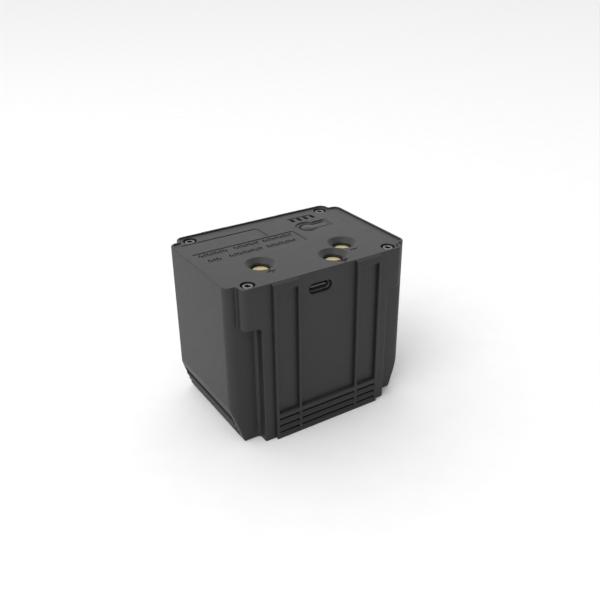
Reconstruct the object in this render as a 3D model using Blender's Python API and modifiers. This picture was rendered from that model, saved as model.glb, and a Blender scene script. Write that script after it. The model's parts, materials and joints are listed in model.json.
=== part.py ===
"""Lithium battery cartridge for a motorcycle.

A charcoal plastic case with a screwed lid holds four cylindrical cells, their holders and
nickel links, and a board with a USB-C socket, a charge-check button and its lights.
X runs along the case, -Y is the face with the socket, and Z is up from the underside.
All lengths are metres.
"""

import math

import bmesh
import bpy
from mathutils import Matrix, Vector

# Clearance kept between pieces that touch on the real object
GAP = 0.0003

# Case
LENGTH = 0.0760
HEIGHT = 0.0635
BLOCK_DEPTH = 0.0454
SLAB_DEPTH = 0.0538
BOSS_LENGTH = 0.0677
BOSS_RADIUS = 0.0030
SLAB_LENGTH = 0.0538
FRAME_PROUD = 0.0014
BLOCK_RADIUS = 0.0030
WALL = 0.0022
FLOOR = 0.0020
FOOT_CHAMFER = 0.0004
BOSS_BOTTOM = 0.04775
BOSS_FILLET = 0.0018
TAPER_TOP = 0.0146
TAPER_IN = 0.00467
CORNER_STEPS = 5
GRIP_DEPTH = 0.0388
GRIP_LOW = 0.0013
GRIP_HIGH = 0.0103
GRIP_INTO_WALL = 0.0012

# Raised frame with louvres, on the front and the back
RIB_WIDTH = 0.00115
OUTER_RIB_X = 0.0221
INNER_RIB_X = 0.01245
TOP_BORDER_Z = 0.0604
BOTTOM_BORDER_Z = 0.0114
BOTTOM_BORDER_SLOPE = 0.0011
LOUVRE_LIPS = 3
LOUVRE_FIRST_Z = 0.0093
LOUVRE_PITCH = 0.00285
LOUVRE_SET_BACK = 0.0013

# Room inside the case, from the bottom up
HOLDER_TOP = 0.0457
BOSS_LEDGE_Z = 0.0476
BOARD_LEDGE_Z = 0.0531
SHAFT_HALF_DEPTH = 0.0178
LEDGE_HALF_LENGTH = 0.0210
BOARD_ROOM_HALF_LENGTH = 0.0244

# Lid
LID_FLANGE = 0.0013
LID_EDGE = 0.00035
LID_RIM_WIDTH = 0.0009
LID_RIM_HEIGHT = 0.0005
LID_THICK = 0.0034
SEAL_STEP = 0.0009
SEAL_DEPTH = 0.0013

# M2 cap screws and their inserts
SCREW_X = 0.0294
SCREW_Y = 0.0226
SCREW_SINK = 0.0008
HEAD_RADIUS = 0.0019
HEAD_HEIGHT = 0.0020
HEX_SIZE = 0.0018
HEX_DEPTH = 0.0012
SHANK_RADIUS = 0.0010
SHANK_LENGTH = 0.0060
COUNTERBORE_RADIUS = 0.0026
CUP_RADIUS = 0.0031
CUP_FLOOR = 0.0011
INSERT_RADIUS = 0.0016
INSERT_LENGTH = 0.0035

# Contact wells in the lid
WELLS = {
    "positive": (-0.01735, -0.00985),
    "ground": (0.00865, -0.0172),
    "negative": (0.0176, -0.0100),
}
WELL_RIM_RADIUS = 0.00555
WELL_BORE_RADIUS = 0.00345
WELL_FUNNEL = 0.00155
WELL_DEPTH = 0.0025
CONTACT_RADIUS = 0.0030
COLLAR_RADIUS = 0.0042
COLLAR_THICK = 0.0009
CONTACT_STEM_RADIUS = 0.0015

# Check button, a flexing tongue in a keyhole recess
BUTTON_X = 0.01575
BUTTON_Y = 0.0104
BUTTON_RADIUS = 0.00295
BUTTON_ARM_HALF = 0.0016
BUTTON_ROOT_X = 0.0240
KEYHOLE_RADIUS = 0.00505
KEYHOLE_STEM_HALF = 0.0034
KEYHOLE_END_X = 0.0258
KEYHOLE_DEPTH = 0.0005
TONGUE_THICK = 0.0010
POST_RADIUS = 0.0010
POST_LENGTH = 0.0009

# Tact switch under the button
SWITCH_HALF = 0.0026
SWITCH_HEIGHT = 0.0032
SWITCH_WELL = 0.0018
PLUNGER_RADIUS = 0.0012
PLUNGER_LIFT = 0.0008

# Lights
LIGHT_COUNT = 4
LIGHT_PITCH = 0.0031
LIGHT_FIRST_X = 0.0138
LIGHT_Y = 0.0188
LIGHT_SLOT = (0.0014, 0.0034)
GUIDE_PAST_LIGHT = 0.0010
GUIDE_HALF_DEPTH = 0.0020
GUIDE_THICK = 0.0010
LIGHT_CHIP = (0.0016, 0.0010, 0.0009)

# USB-C socket
USB_X = -0.0031
USB_Z = 0.0569
USB_WIDTH = 0.00894
USB_THICK = 0.00326
USB_LENGTH = 0.0073
USB_SHEET = 0.0003
USB_SET_BACK = 0.0011

# Board
BOARD_HALF_LENGTH = 0.0240
BOARD_HALF_DEPTH = 0.0241
BOARD_THICK = 0.0016

# Cells and their holders
CELL_RADIUS = 0.0092
CELL_LENGTH = 0.0652
CELL_PITCH = 0.0202
CELL_LOW_Z = 0.0156
CELL_NUB_RADIUS = 0.0028
CELL_NUB_HEIGHT = 0.0006
HOLDER_THICK = 0.0068
NICKEL_THICK = 0.0002
LEAD_RADIUS = 0.0009

HALF_LENGTH = LENGTH / 2
HALF_BLOCK = BLOCK_DEPTH / 2
HALF_SLAB = SLAB_DEPTH / 2
HALF_BOSS = BOSS_LENGTH / 2
HALF_SLAB_LENGTH = SLAB_LENGTH / 2
LID_SEAT = HEIGHT - LID_FLANGE
RIM = LID_SEAT - GAP
LID_UNDERSIDE = HEIGHT - LID_THICK
FIELD = HEIGHT - LID_RIM_HEIGHT
HEAD_TOP = HEIGHT - SCREW_SINK
HEAD_SEAT = HEAD_TOP - HEAD_HEIGHT
CUP_TOP = HEAD_SEAT - GAP
CUP_BOTTOM = CUP_TOP - CUP_FLOOR
INSERT_TOP = CUP_BOTTOM - 2 * GAP
BOARD_BOTTOM = BOARD_LEDGE_Z + GAP
BOARD_TOP = BOARD_BOTTOM + BOARD_THICK
PART_SEAT = BOARD_TOP + GAP
TONGUE_TOP = FIELD - KEYHOLE_DEPTH
TONGUE_BOTTOM = TONGUE_TOP - TONGUE_THICK
CELL_HIGH_Z = CELL_LOW_Z + CELL_PITCH
CELL_Y = CELL_PITCH / 2

OBJECT_NAME = "motorcycle_battery"


def reset_scene():
    """Empty the scene and make the collections for the parts and their cutters."""
    for obj in list(bpy.data.objects):
        bpy.data.objects.remove(obj, do_unlink=True)
    for name in (OBJECT_NAME, "cutters"):
        bpy.context.scene.collection.children.link(bpy.data.collections.new(name))
    add("middle_planes", None)


def material(name, colour, roughness, metallic=0.0):
    """A Principled material of one colour."""
    made = bpy.data.materials.new(name)
    made.use_nodes = True
    shader = made.node_tree.nodes["Principled BSDF"]
    shader.inputs["Base Color"].default_value = (*colour, 1.0)
    shader.inputs["Roughness"].default_value = roughness
    shader.inputs["Metallic"].default_value = metallic
    return made


def add(name, data, looks=None):
    """Link a new object: a part when it has a material, and a cutter when it has none."""
    obj = bpy.data.objects.new(name, data)
    if looks is None:
        bpy.data.collections["cutters"].objects.link(obj)
        obj.hide_render = True
        obj.display_type = "WIRE"
    else:
        bpy.data.collections[OBJECT_NAME].objects.link(obj)
        data.materials.append(looks)
    return obj


def smooth(obj, degrees=35):
    """Shade round surfaces smooth and keep the real edges sharp."""
    obj.data.shade_smooth()
    obj.data.set_sharp_from_angle(angle=math.radians(degrees))
    return obj


def evaluated_mesh(obj):
    """The mesh of an object with its modifiers, welded into one skin."""
    bpy.context.view_layer.update()
    graph = bpy.context.evaluated_depsgraph_get()
    mesh = bpy.data.meshes.new_from_object(obj.evaluated_get(graph))
    work = bmesh.new()
    work.from_mesh(mesh)
    bmesh.ops.remove_doubles(work, verts=work.verts, dist=1e-6)
    bmesh.ops.recalc_face_normals(work, faces=work.faces)
    work.to_mesh(mesh)
    work.free()
    return mesh


def as_mesh(obj):
    """Replace a curve, or an object with modifiers, by the mesh that it shows."""
    name = obj.name
    looks = obj.data.materials[0] if obj.data.materials else None
    mesh = evaluated_mesh(obj)
    placed = obj.matrix_world.copy()
    mesh.materials.clear()
    bpy.data.objects.remove(obj, do_unlink=True)
    made = add(name, mesh, looks)
    made.matrix_world = placed
    return made


def combine(obj, other, operation):
    """Cut an object by another, or join the other to it."""
    step = obj.modifiers.new(f"{operation.lower()}_{other.name}"[:60], "BOOLEAN")
    step.operation = operation
    step.object = other
    return obj


def cut(obj, *cutters):
    """Take each cutter away from the object."""
    for cutter in cutters:
        combine(obj, cutter, "DIFFERENCE")
    return obj


def join(obj, *others):
    """Unite each other shape with the object."""
    for other in others:
        combine(obj, other, "UNION")
    return obj


def mirror(obj, x=False, y=False):
    """Repeat an object on the other side of the middle planes."""
    step = obj.modifiers.new("mirror", "MIRROR")
    step.mirror_object = bpy.data.objects["middle_planes"]
    step.use_axis = (x, y, False)
    step.merge_threshold = 0.00001
    return obj


def arc(centre, radius, start, stop, steps):
    """Points on an arc, from start to stop in degrees."""
    points = []
    for index in range(steps + 1):
        angle = math.radians(start + (stop - start) * index / steps)
        points.append((centre[0] + radius * math.cos(angle), centre[1] + radius * math.sin(angle)))
    return points


def circle(centre, radius, steps):
    """A closed ring of points."""
    return arc(centre, radius, 0, 360, steps)[:-1]


def rounded_rectangle(half_x, half_y, radius, steps=5):
    """A rectangle about the origin with round corners, anticlockwise."""
    points = []
    corners = ((1, 1, 0), (-1, 1, 90), (-1, -1, 180), (1, -1, 270))
    for side_x, side_y, start in corners:
        centre = (side_x * (half_x - radius), side_y * (half_y - radius))
        points += arc(centre, radius, start, start + 90, steps)
    return points


def shifted(points, dx, dy):
    """The same outline, moved."""
    return [(x + dx, y + dy) for x, y in points]


def four_fold(quarter):
    """A whole outline from its first quarter, given anticlockwise."""
    half = quarter + [(-x, y) for x, y in reversed(quarter)]
    return half + [(-x, -y) for x, y in half]


def keyhole(radius, stem_half, end_x, end_radius=0.0004):
    """The outline of a disc with a straight stem towards +X."""
    swing = math.degrees(math.asin(stem_half / radius))
    points = arc((BUTTON_X, BUTTON_Y), radius, swing, 360 - swing, 22)
    corner_x = end_x - end_radius
    points += arc((corner_x, BUTTON_Y - stem_half + end_radius), end_radius, 270, 360, 3)
    points += arc((corner_x, BUTTON_Y + stem_half - end_radius), end_radius, 0, 90, 3)
    return points


def plate(name, outlines, low, high, looks=None, plane="XY"):
    """A flat piece: outlines in a plane, the first one round the others, filled and thick."""
    curve = bpy.data.curves.new(name, "CURVE")
    curve.dimensions = "2D"
    curve.fill_mode = "BOTH"
    curve.extrude = (high - low) / 2
    for outline in outlines:
        spline = curve.splines.new("POLY")
        spline.points.add(len(outline) - 1)
        for point, (u, v) in zip(spline.points, outline):
            point.co = (u, v, 0, 1)
        spline.use_cyclic_u = True
    obj = add(name, curve, looks)
    middle = (low + high) / 2
    if plane == "XZ":
        obj.rotation_euler = (math.pi / 2, 0, 0)
        obj.location = (0, middle, 0)
    elif plane == "YZ":
        obj.rotation_euler = (math.pi / 2, 0, math.pi / 2)
        obj.location = (middle, 0, 0)
    else:
        obj.location = (0, 0, middle)
    return as_mesh(obj)


def loft(name, rings, looks=None):
    """A solid through outlines of equal point count, each a (height, points) pair."""
    work = bmesh.new()
    levels = [[work.verts.new((x, y, z)) for x, y in points] for z, points in rings]
    count = len(levels[0])
    work.faces.new(list(reversed(levels[0])))
    work.faces.new(levels[-1])
    for low, high in zip(levels, levels[1:]):
        for index in range(count):
            after = (index + 1) % count
            work.faces.new((low[index], low[after], high[after], high[index]))
    mesh = bpy.data.meshes.new(name)
    work.to_mesh(mesh)
    work.free()
    return add(name, mesh, looks)


def prism(name, outline, low, high):
    """A cutter with upright sides."""
    return loft(name, [(low, outline), (high, outline)])


def turned(name, profile, steps, looks=None, place=(0, 0, 0)):
    """A solid of revolution about Z: (radius, height) points, down the outer side."""
    mesh = bpy.data.meshes.new(name)
    edges = [(index, index + 1) for index in range(len(profile) - 1)]
    if profile[0][0] > 0:
        edges.append((len(profile) - 1, 0))
    mesh.from_pydata([(radius, 0, height) for radius, height in profile], edges, [])
    obj = add(name, mesh, looks)
    obj.location = place
    spin = obj.modifiers.new("turn", "SCREW")
    spin.steps = steps
    spin.render_steps = steps
    spin.use_merge_vertices = True
    spin.merge_threshold = 0.000001
    return as_mesh(obj)


def cylinder(name, radius, low, high, steps, looks=None, at=(0, 0)):
    """An upright round bar."""
    profile = [(0, high), (radius, high), (radius, low), (0, low)]
    return turned(name, profile, steps, looks, (at[0], at[1], 0))


def box(name, low, high, looks=None, edge=0.0):
    """A block between two corners, with chamfered edges when edge is given."""
    work = bmesh.new()
    bmesh.ops.create_cube(work, size=1.0)
    size = Vector(high) - Vector(low)
    bmesh.ops.scale(work, vec=size, verts=work.verts)
    bmesh.ops.translate(work, vec=(Vector(high) + Vector(low)) / 2, verts=work.verts)
    if edge:
        bmesh.ops.bevel(work, geom=work.edges, offset=edge, segments=1, affect="EDGES")
    mesh = bpy.data.meshes.new(name)
    work.to_mesh(mesh)
    work.free()
    return add(name, mesh, looks)


def at_screws(name, radius, low, high, steps):
    """A cutter of four round bars, one about each screw's axis."""
    work = bmesh.new()
    for side_x in (-1, 1):
        for side_y in (-1, 1):
            place = Matrix.Translation((side_x * SCREW_X, side_y * SCREW_Y, (low + high) / 2))
            bmesh.ops.create_cone(
                work, cap_ends=True, segments=steps, radius1=radius, radius2=radius,
                depth=high - low, matrix=place,
            )
    mesh = bpy.data.meshes.new(name)
    work.to_mesh(mesh)
    work.free()
    return add(name, mesh)


def block_half_length(z):
    """Half the length of the end blocks at a height, with their taper at the foot."""
    below = max(0.0, TAPER_TOP - z) / TAPER_TOP
    return HALF_LENGTH - TAPER_IN * below


def block_outline(z, inset):
    """The end blocks' plan at a height, moved in by inset; the taper's plane cuts its corners."""
    radius = max(BLOCK_RADIUS - inset, 0.0006)
    plan = rounded_rectangle(HALF_LENGTH - inset, HALF_BLOCK - inset, radius, CORNER_STEPS)
    limit = block_half_length(z) - inset
    return [(max(-limit, min(limit, x)), y) for x, y in plan]


def taper_levels():
    """The heights, from low to high, at which the taper's plane meets each corner point."""
    levels = []
    for index in range(CORNER_STEPS, -1, -1):
        angle = math.radians(90 * index / CORNER_STEPS)
        cut_off = BLOCK_RADIUS * (1 - math.cos(angle))
        levels.append(TAPER_TOP * (1 - cut_off / TAPER_IN))
    return levels


def room_outline(half_length, grow=0.0):
    """The plus-shaped plan of the room at the top: a long shaft crossed by a wide bay."""
    radius = 0.0010
    shaft_end = HALF_LENGTH - WALL + grow
    shaft_side = SHAFT_HALF_DEPTH + grow
    bay_end = half_length + grow
    bay_side = HALF_SLAB - WALL + grow
    quarter = arc((shaft_end - radius, shaft_side - radius), radius, 0, 90, 3)
    quarter += [(bay_end, shaft_side)]
    quarter += arc((bay_end - radius, bay_side - radius), radius, 0, 90, 3)
    return four_fold(quarter)


def lid_outline(inset):
    """The lid's plan: the end blocks with the four screw bosses, moved in by inset."""
    edge_radius = BLOCK_RADIUS - inset
    side = HALF_BLOCK - inset
    quarter = arc((HALF_LENGTH - BLOCK_RADIUS, HALF_BLOCK - BLOCK_RADIUS), edge_radius, 0, 90, 5)
    quarter += [(HALF_BOSS - inset, side)]
    boss_y = HALF_SLAB - BOSS_RADIUS
    quarter += arc((HALF_BOSS - BOSS_RADIUS, boss_y), BOSS_RADIUS - inset, 0, 90, 5)
    return four_fold(quarter)


def slab():
    """The middle of the case, deeper than its end blocks, with a screw boss at each corner."""
    rings = []
    for z, inset in ((0, FOOT_CHAMFER), (FOOT_CHAMFER, 0), (RIM, 0)):
        plan = rounded_rectangle(HALF_BOSS - inset, HALF_SLAB - inset, BOSS_RADIUS - inset)
        rings.append((z, plan))
    solid = loft("slab_body", rings)
    below = arc((HALF_SLAB_LENGTH + BOSS_FILLET, BOSS_BOTTOM - BOSS_FILLET), BOSS_FILLET, 180, 90, 5)
    below += [(HALF_LENGTH, BOSS_BOTTOM), (HALF_LENGTH, -GAP), (HALF_SLAB_LENGTH, -GAP)]
    sides = plate("slab_sides", [below], -HALF_SLAB - GAP, HALF_SLAB + GAP, plane="XZ")
    return cut(solid, mirror(sides, x=True))


def frame():
    """The raised front frame: a rib on each side of three panels, and two borders."""
    half_rib = RIB_WIDTH / 2
    outer = OUTER_RIB_X + half_rib
    inner = INNER_RIB_X - half_rib
    rim = [
        (-outer, FOOT_CHAMFER), (outer, FOOT_CHAMFER), (outer, RIM), (inner, RIM),
        (inner, BOTTOM_BORDER_Z), (-inner, BOTTOM_BORDER_Z), (-inner, RIM), (-outer, RIM),
    ]
    outlines = [rim]
    for side in (-1, 1):
        near = side * (INNER_RIB_X + half_rib)
        far = side * (OUTER_RIB_X - half_rib)
        panel = [(near, BOTTOM_BORDER_Z), (far, BOTTOM_BORDER_Z), (far, TOP_BORDER_Z), (near, TOP_BORDER_Z)]
        outlines.append(panel)
    raised = plate("frame", outlines, -HALF_SLAB - FRAME_PROUD, -HALF_SLAB + GAP, plane="XZ")
    return mirror(cut(raised, louvres()), y=True)


def louvres():
    """A cutter between the frame's ribs: a slope above the band, and rows of grooves in it."""
    face_y = -HALF_SLAB - FRAME_PROUD
    half_rib = RIB_WIDTH / 2
    stretches = (
        (-OUTER_RIB_X + half_rib, -INNER_RIB_X - half_rib),
        (-INNER_RIB_X + half_rib, INNER_RIB_X - half_rib),
        (INNER_RIB_X + half_rib, OUTER_RIB_X - half_rib),
    )
    slope_foot = BOTTOM_BORDER_Z - BOTTOM_BORDER_SLOPE
    grooves = [((face_y - GAP, BOTTOM_BORDER_Z), (-HALF_SLAB, BOTTOM_BORDER_Z), (face_y - GAP, slope_foot))]
    for row in range(LOUVRE_LIPS):
        top = LOUVRE_FIRST_Z - row * LOUVRE_PITCH
        grooves.append((
            (face_y - GAP, top),
            (face_y + LOUVRE_SET_BACK, top - GAP),
            (face_y - GAP, top - LOUVRE_PITCH + 2 * GAP),
        ))
    work = bmesh.new()
    for groove in grooves:
        for start, stop in stretches:
            first = work.faces.new([work.verts.new((start, y, z)) for y, z in groove])
            grown = bmesh.ops.extrude_face_region(work, geom=[first])
            moved = [item for item in grown["geom"] if isinstance(item, bmesh.types.BMVert)]
            bmesh.ops.translate(work, vec=(stop - start, 0, 0), verts=moved)
    bmesh.ops.recalc_face_normals(work, faces=work.faces)
    mesh = bpy.data.meshes.new("louvres")
    work.to_mesh(mesh)
    work.free()
    return add("louvres", mesh)


def case_room():
    """Cutters for the inside: the cells' room below, and the board's room above."""
    half_slab_room = HALF_SLAB_LENGTH - WALL
    levels = (FLOOR, TAPER_TOP, BOSS_LEDGE_Z)
    cell_room = loft("cell_room", [(z, block_outline(z, WALL)) for z in levels])
    pad_plan = rounded_rectangle(half_slab_room, HALF_SLAB - WALL, 0.0010)
    pad_room = plate("pad_room", [pad_plan], FLOOR + GAP, BOSS_LEDGE_Z - GAP)
    lead_plan = room_outline(LEDGE_HALF_LENGTH)
    lead_room = prism("lead_room", lead_plan, BOSS_LEDGE_Z - 2 * GAP, BOARD_LEDGE_Z + GAP)
    board_room = prism("board_room", room_outline(BOARD_ROOM_HALF_LENGTH), BOARD_LEDGE_Z, HEIGHT)
    seal_plan = room_outline(BOARD_ROOM_HALF_LENGTH, SEAL_STEP)
    seal_step = prism("seal_step", seal_plan, RIM - SEAL_DEPTH, HEIGHT)
    return cell_room, pad_room, lead_room, board_room, seal_step


def end_grips():
    """A cutter for the finger grips in the tapered foot of both ends."""
    outline = [
        (HALF_LENGTH, GRIP_HIGH),
        (block_half_length(GRIP_HIGH) - GRIP_INTO_WALL, GRIP_HIGH),
        (block_half_length(GRIP_LOW) - GRIP_INTO_WALL, GRIP_LOW),
        (HALF_LENGTH, GRIP_LOW),
    ]
    return mirror(plate("end_grips", [outline], -GRIP_DEPTH / 2, GRIP_DEPTH / 2, plane="XZ"), x=True)


def usb_outline(grow):
    """The socket's flat oval, in X and Z."""
    half_thick = USB_THICK / 2 + grow
    half_width = USB_WIDTH / 2 + grow
    oval = rounded_rectangle(half_width, half_thick, half_thick - 0.00001, 6)
    return shifted(oval, USB_X, USB_Z)


def make_case(looks):
    """The tub: end blocks, slab and frames outside, with the rooms and screw seats inside."""
    rings = [(0, block_outline(0, FOOT_CHAMFER))]
    rings += [(z, block_outline(z, 0)) for z in (FOOT_CHAMFER, *taper_levels(), RIM)]
    case = loft("case_body", rings, looks)
    join(case, slab(), frame())
    cut(case, end_grips(), *case_room())
    cut(case, at_screws("cup_seats", CUP_RADIUS + GAP, CUP_BOTTOM - GAP, HEIGHT, 24))
    insert_bottom = INSERT_TOP - INSERT_LENGTH
    cut(case, at_screws("insert_seats", INSERT_RADIUS + GAP, insert_bottom - 2 * GAP, RIM, 20))
    slot = plate("usb_slot", [usb_outline(GAP)], -HALF_SLAB - GAP, -HALF_SLAB + 2 * WALL, plane="XZ")
    cut(case, slot)
    return case


def well_cutter(name, at):
    """A contact well: a funnel from the lid's field, over a straight bore through the lid."""
    waist = FIELD - WELL_FUNNEL
    profile = [
        (0, HEIGHT), (WELL_RIM_RADIUS, HEIGHT), (WELL_RIM_RADIUS, FIELD),
        (WELL_BORE_RADIUS, waist), (WELL_BORE_RADIUS, LID_UNDERSIDE - GAP), (0, LID_UNDERSIDE - GAP),
    ]
    return turned(name, profile, 32, None, (at[0], at[1], 0))


def light_x(index):
    """The place of a light along the row."""
    return LIGHT_FIRST_X + index * LIGHT_PITCH


def pill(index, grow):
    """The upright round-ended window of one light."""
    half_x = LIGHT_SLOT[0] / 2 + grow
    outline = rounded_rectangle(half_x, LIGHT_SLOT[1] / 2 + grow, half_x - 0.00001, 4)
    return shifted(outline, light_x(index), LIGHT_Y)


def make_lid(looks):
    """The lid: a rimmed flange, a plug inside the case and a cup at each screw."""
    flange = (
        (LID_SEAT, 0), (HEIGHT - LID_EDGE, 0), (HEIGHT - 0.3 * LID_EDGE, 0.3 * LID_EDGE), (HEIGHT, LID_EDGE),
    )
    lid = loft("lid", [(z, lid_outline(inset)) for z, inset in flange], looks)
    plug_plan = room_outline(BOARD_ROOM_HALF_LENGTH, -GAP)
    plug = prism("lid_plug", plug_plan, LID_UNDERSIDE, LID_SEAT + GAP)
    join(lid, plug, at_screws("lid_cups", CUP_RADIUS, CUP_BOTTOM, LID_SEAT + GAP, 24))
    cut(lid, prism("lid_field", lid_outline(LID_RIM_WIDTH), FIELD, HEIGHT + GAP))
    cut(lid, at_screws("counterbores", COUNTERBORE_RADIUS, CUP_TOP, HEIGHT + GAP, 24))
    cut(lid, at_screws("screw_holes", SHANK_RADIUS + GAP, CUP_BOTTOM - GAP, HEIGHT, 20))
    for name, at in WELLS.items():
        cut(lid, well_cutter(f"{name}_well", at))
    outline = keyhole(KEYHOLE_RADIUS, KEYHOLE_STEM_HALF, KEYHOLE_END_X)
    cut(lid, plate("keyhole_recess", [outline], TONGUE_TOP, HEIGHT + GAP))
    room = keyhole(KEYHOLE_RADIUS - GAP, KEYHOLE_STEM_HALF - GAP, KEYHOLE_END_X - GAP)
    cut(lid, plate("button_room", [room], LID_UNDERSIDE - GAP, TONGUE_BOTTOM))
    slot = keyhole(BUTTON_RADIUS + GAP, BUTTON_ARM_HALF + GAP, BUTTON_ROOT_X + GAP)
    cut(lid, plate("button_slot", [slot], LID_UNDERSIDE, HEIGHT))
    for index in range(LIGHT_COUNT):
        cut(lid, plate(f"light_slot_{index + 1}", [pill(index, 0)], LID_UNDERSIDE - GAP, HEIGHT + GAP))
    return lid


def make_button(looks):
    """The flexing tongue with its dome, and the post that reaches for the switch."""
    outline = keyhole(BUTTON_RADIUS, BUTTON_ARM_HALF, BUTTON_ROOT_X)
    button = plate("check_button", [outline], TONGUE_BOTTOM, TONGUE_TOP, looks)
    rise = FIELD - TONGUE_TOP
    dome_radius = BUTTON_RADIUS - GAP
    profile = []
    for index in range(6):
        angle = math.radians(90 * index / 5)
        profile.append((dome_radius * math.sin(angle), TONGUE_TOP + rise * math.cos(angle)))
    middle = TONGUE_TOP - TONGUE_THICK / 2
    profile += [(dome_radius, middle), (0, middle)]
    place = (BUTTON_X, BUTTON_Y, 0)
    dome = turned("button_dome", profile, 24, None, place)
    post = cylinder("button_post", POST_RADIUS, post_bottom(), middle, 16, at=(BUTTON_X, BUTTON_Y))
    join(button, dome, post)
    button = smooth(as_mesh(button), 30)
    hinge = Vector((BUTTON_ROOT_X, BUTTON_Y, TONGUE_TOP - TONGUE_THICK / 2))
    button.data.transform(Matrix.Translation(-hinge) @ button.matrix_world)
    button.matrix_world = Matrix.Translation(hinge)
    return button


def post_bottom():
    """The lower end of the button's post."""
    return TONGUE_BOTTOM - POST_LENGTH


def make_switch(body_looks, plunger_looks):
    """The tact switch on the board: a square body with a well, and its plunger."""
    body_top = PART_SEAT + SWITCH_HEIGHT
    low = (BUTTON_X - SWITCH_HALF, BUTTON_Y - SWITCH_HALF, PART_SEAT)
    high = (BUTTON_X + SWITCH_HALF, BUTTON_Y + SWITCH_HALF, body_top)
    body = box("switch_body", low, high, body_looks, 0.0003)
    well_bottom = body_top - SWITCH_WELL
    place = (BUTTON_X, BUTTON_Y)
    cut(body, cylinder("switch_well", PLUNGER_RADIUS + GAP, well_bottom, body_top + GAP, 20, at=place))
    low_end = well_bottom + PLUNGER_LIFT
    high_end = post_bottom() - GAP
    smooth(cylinder("switch_plunger", PLUNGER_RADIUS, low_end, high_end, 20, plunger_looks, place))


def make_screws(looks):
    """Four M2 socket cap screws."""
    head = [(0, HEAD_TOP), (HEAD_RADIUS - 0.0002, HEAD_TOP), (HEAD_RADIUS, HEAD_TOP - 0.0002)]
    shank = [
        (HEAD_RADIUS, HEAD_SEAT), (SHANK_RADIUS, HEAD_SEAT),
        (SHANK_RADIUS, HEAD_SEAT - SHANK_LENGTH + 0.0003),
        (SHANK_RADIUS - 0.0003, HEAD_SEAT - SHANK_LENGTH), (0, HEAD_SEAT - SHANK_LENGTH),
    ]
    model = turned("screw_model", head + shank, 20)
    hexagon = circle((0, 0), HEX_SIZE / math.sqrt(3), 6)
    cut(model, plate("hex_socket", [hexagon], HEAD_TOP - HEX_DEPTH, HEAD_TOP + GAP))
    mesh = evaluated_mesh(model)
    mesh.materials.append(looks)
    for end, side_x in (("left", -1), ("right", 1)):
        for side, side_y in (("front", -1), ("back", 1)):
            screw = bpy.data.objects.new(f"lid_screw_{side}_{end}", mesh)
            bpy.data.collections[OBJECT_NAME].objects.link(screw)
            screw.location = (side_x * SCREW_X, side_y * SCREW_Y, 0)
            smooth(screw)


def make_inserts(looks):
    """Four brass threaded inserts under the lid's cups."""
    bore = SHANK_RADIUS + GAP
    bottom = INSERT_TOP - INSERT_LENGTH
    profile = [(bore, INSERT_TOP), (INSERT_RADIUS, INSERT_TOP), (INSERT_RADIUS, bottom), (bore, bottom)]
    for end, side_x in (("left", -1), ("right", 1)):
        for side, side_y in (("front", -1), ("back", 1)):
            place = (side_x * SCREW_X, side_y * SCREW_Y, 0)
            smooth(turned(f"threaded_insert_{side}_{end}", profile, 18, looks, place))


def make_seal(looks):
    """The rubber seal on the step inside the rim."""
    outer = room_outline(BOARD_ROOM_HALF_LENGTH, SEAL_STEP - GAP)
    inner = room_outline(BOARD_ROOM_HALF_LENGTH, 0.0)
    plate("lid_seal", [outer, inner], RIM - SEAL_DEPTH + GAP, LID_SEAT - GAP, looks)


def make_contacts(looks):
    """Turned contacts: a face in the well, a collar under the lid and a stem to the board."""
    collar_top = LID_UNDERSIDE - GAP
    collar_bottom = collar_top - COLLAR_THICK
    face_top = FIELD - WELL_DEPTH
    profile = [
        (0, face_top), (CONTACT_RADIUS, face_top), (CONTACT_RADIUS, collar_top),
        (COLLAR_RADIUS, collar_top), (COLLAR_RADIUS, collar_bottom),
        (CONTACT_STEM_RADIUS, collar_bottom), (CONTACT_STEM_RADIUS, PART_SEAT), (0, PART_SEAT),
    ]
    for name, at in WELLS.items():
        smooth(turned(f"{name}_contact", profile, 24, looks, (at[0], at[1], 0)))


def cell_profile():
    """Half the outline of a cell, with its positive nub up."""
    half = CELL_LENGTH / 2
    shoulder = half - CELL_NUB_HEIGHT
    edge = 0.0006
    return [
        (0, half), (CELL_NUB_RADIUS, half), (CELL_NUB_RADIUS, shoulder), (CELL_RADIUS - edge, shoulder),
        (CELL_RADIUS, shoulder - edge), (CELL_RADIUS, edge - half), (CELL_RADIUS - edge, -half), (0, -half),
    ]


def make_cells(looks):
    """Two rows of two cells along X, the lower row's nubs to the left."""
    for row, z, turn in (("lower", CELL_LOW_Z, -1), ("upper", CELL_HIGH_Z, 1)):
        for side, y in (("front", -CELL_Y), ("back", CELL_Y)):
            cell = turned(f"cell_{row}_{side}", cell_profile(), 28, looks, (0, y, z))
            cell.rotation_euler = (0, turn * math.pi / 2, 0)
            smooth(cell)


def make_holders(looks):
    """Plastic holders round both ends of the four cells."""
    half_depth = HALF_BLOCK - WALL - GAP
    low = CELL_LOW_Z - CELL_PITCH / 2 + 0.0001
    middle = (low + HOLDER_TOP) / 2
    rim = shifted(rounded_rectangle(half_depth, (HOLDER_TOP - low) / 2, 0.0015, 3), 0, middle)
    holes = []
    for z in (CELL_LOW_Z, CELL_HIGH_Z):
        for y in (-CELL_Y, CELL_Y):
            holes.append(circle((y, z), CELL_RADIUS + GAP, 28))
    reach = CELL_LENGTH / 2 - GAP
    plate("cell_holder_left", [rim, *holes], -reach, HOLDER_THICK - reach, looks, "YZ")
    plate("cell_holder_right", [rim, *holes], reach - HOLDER_THICK, reach, looks, "YZ")


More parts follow.
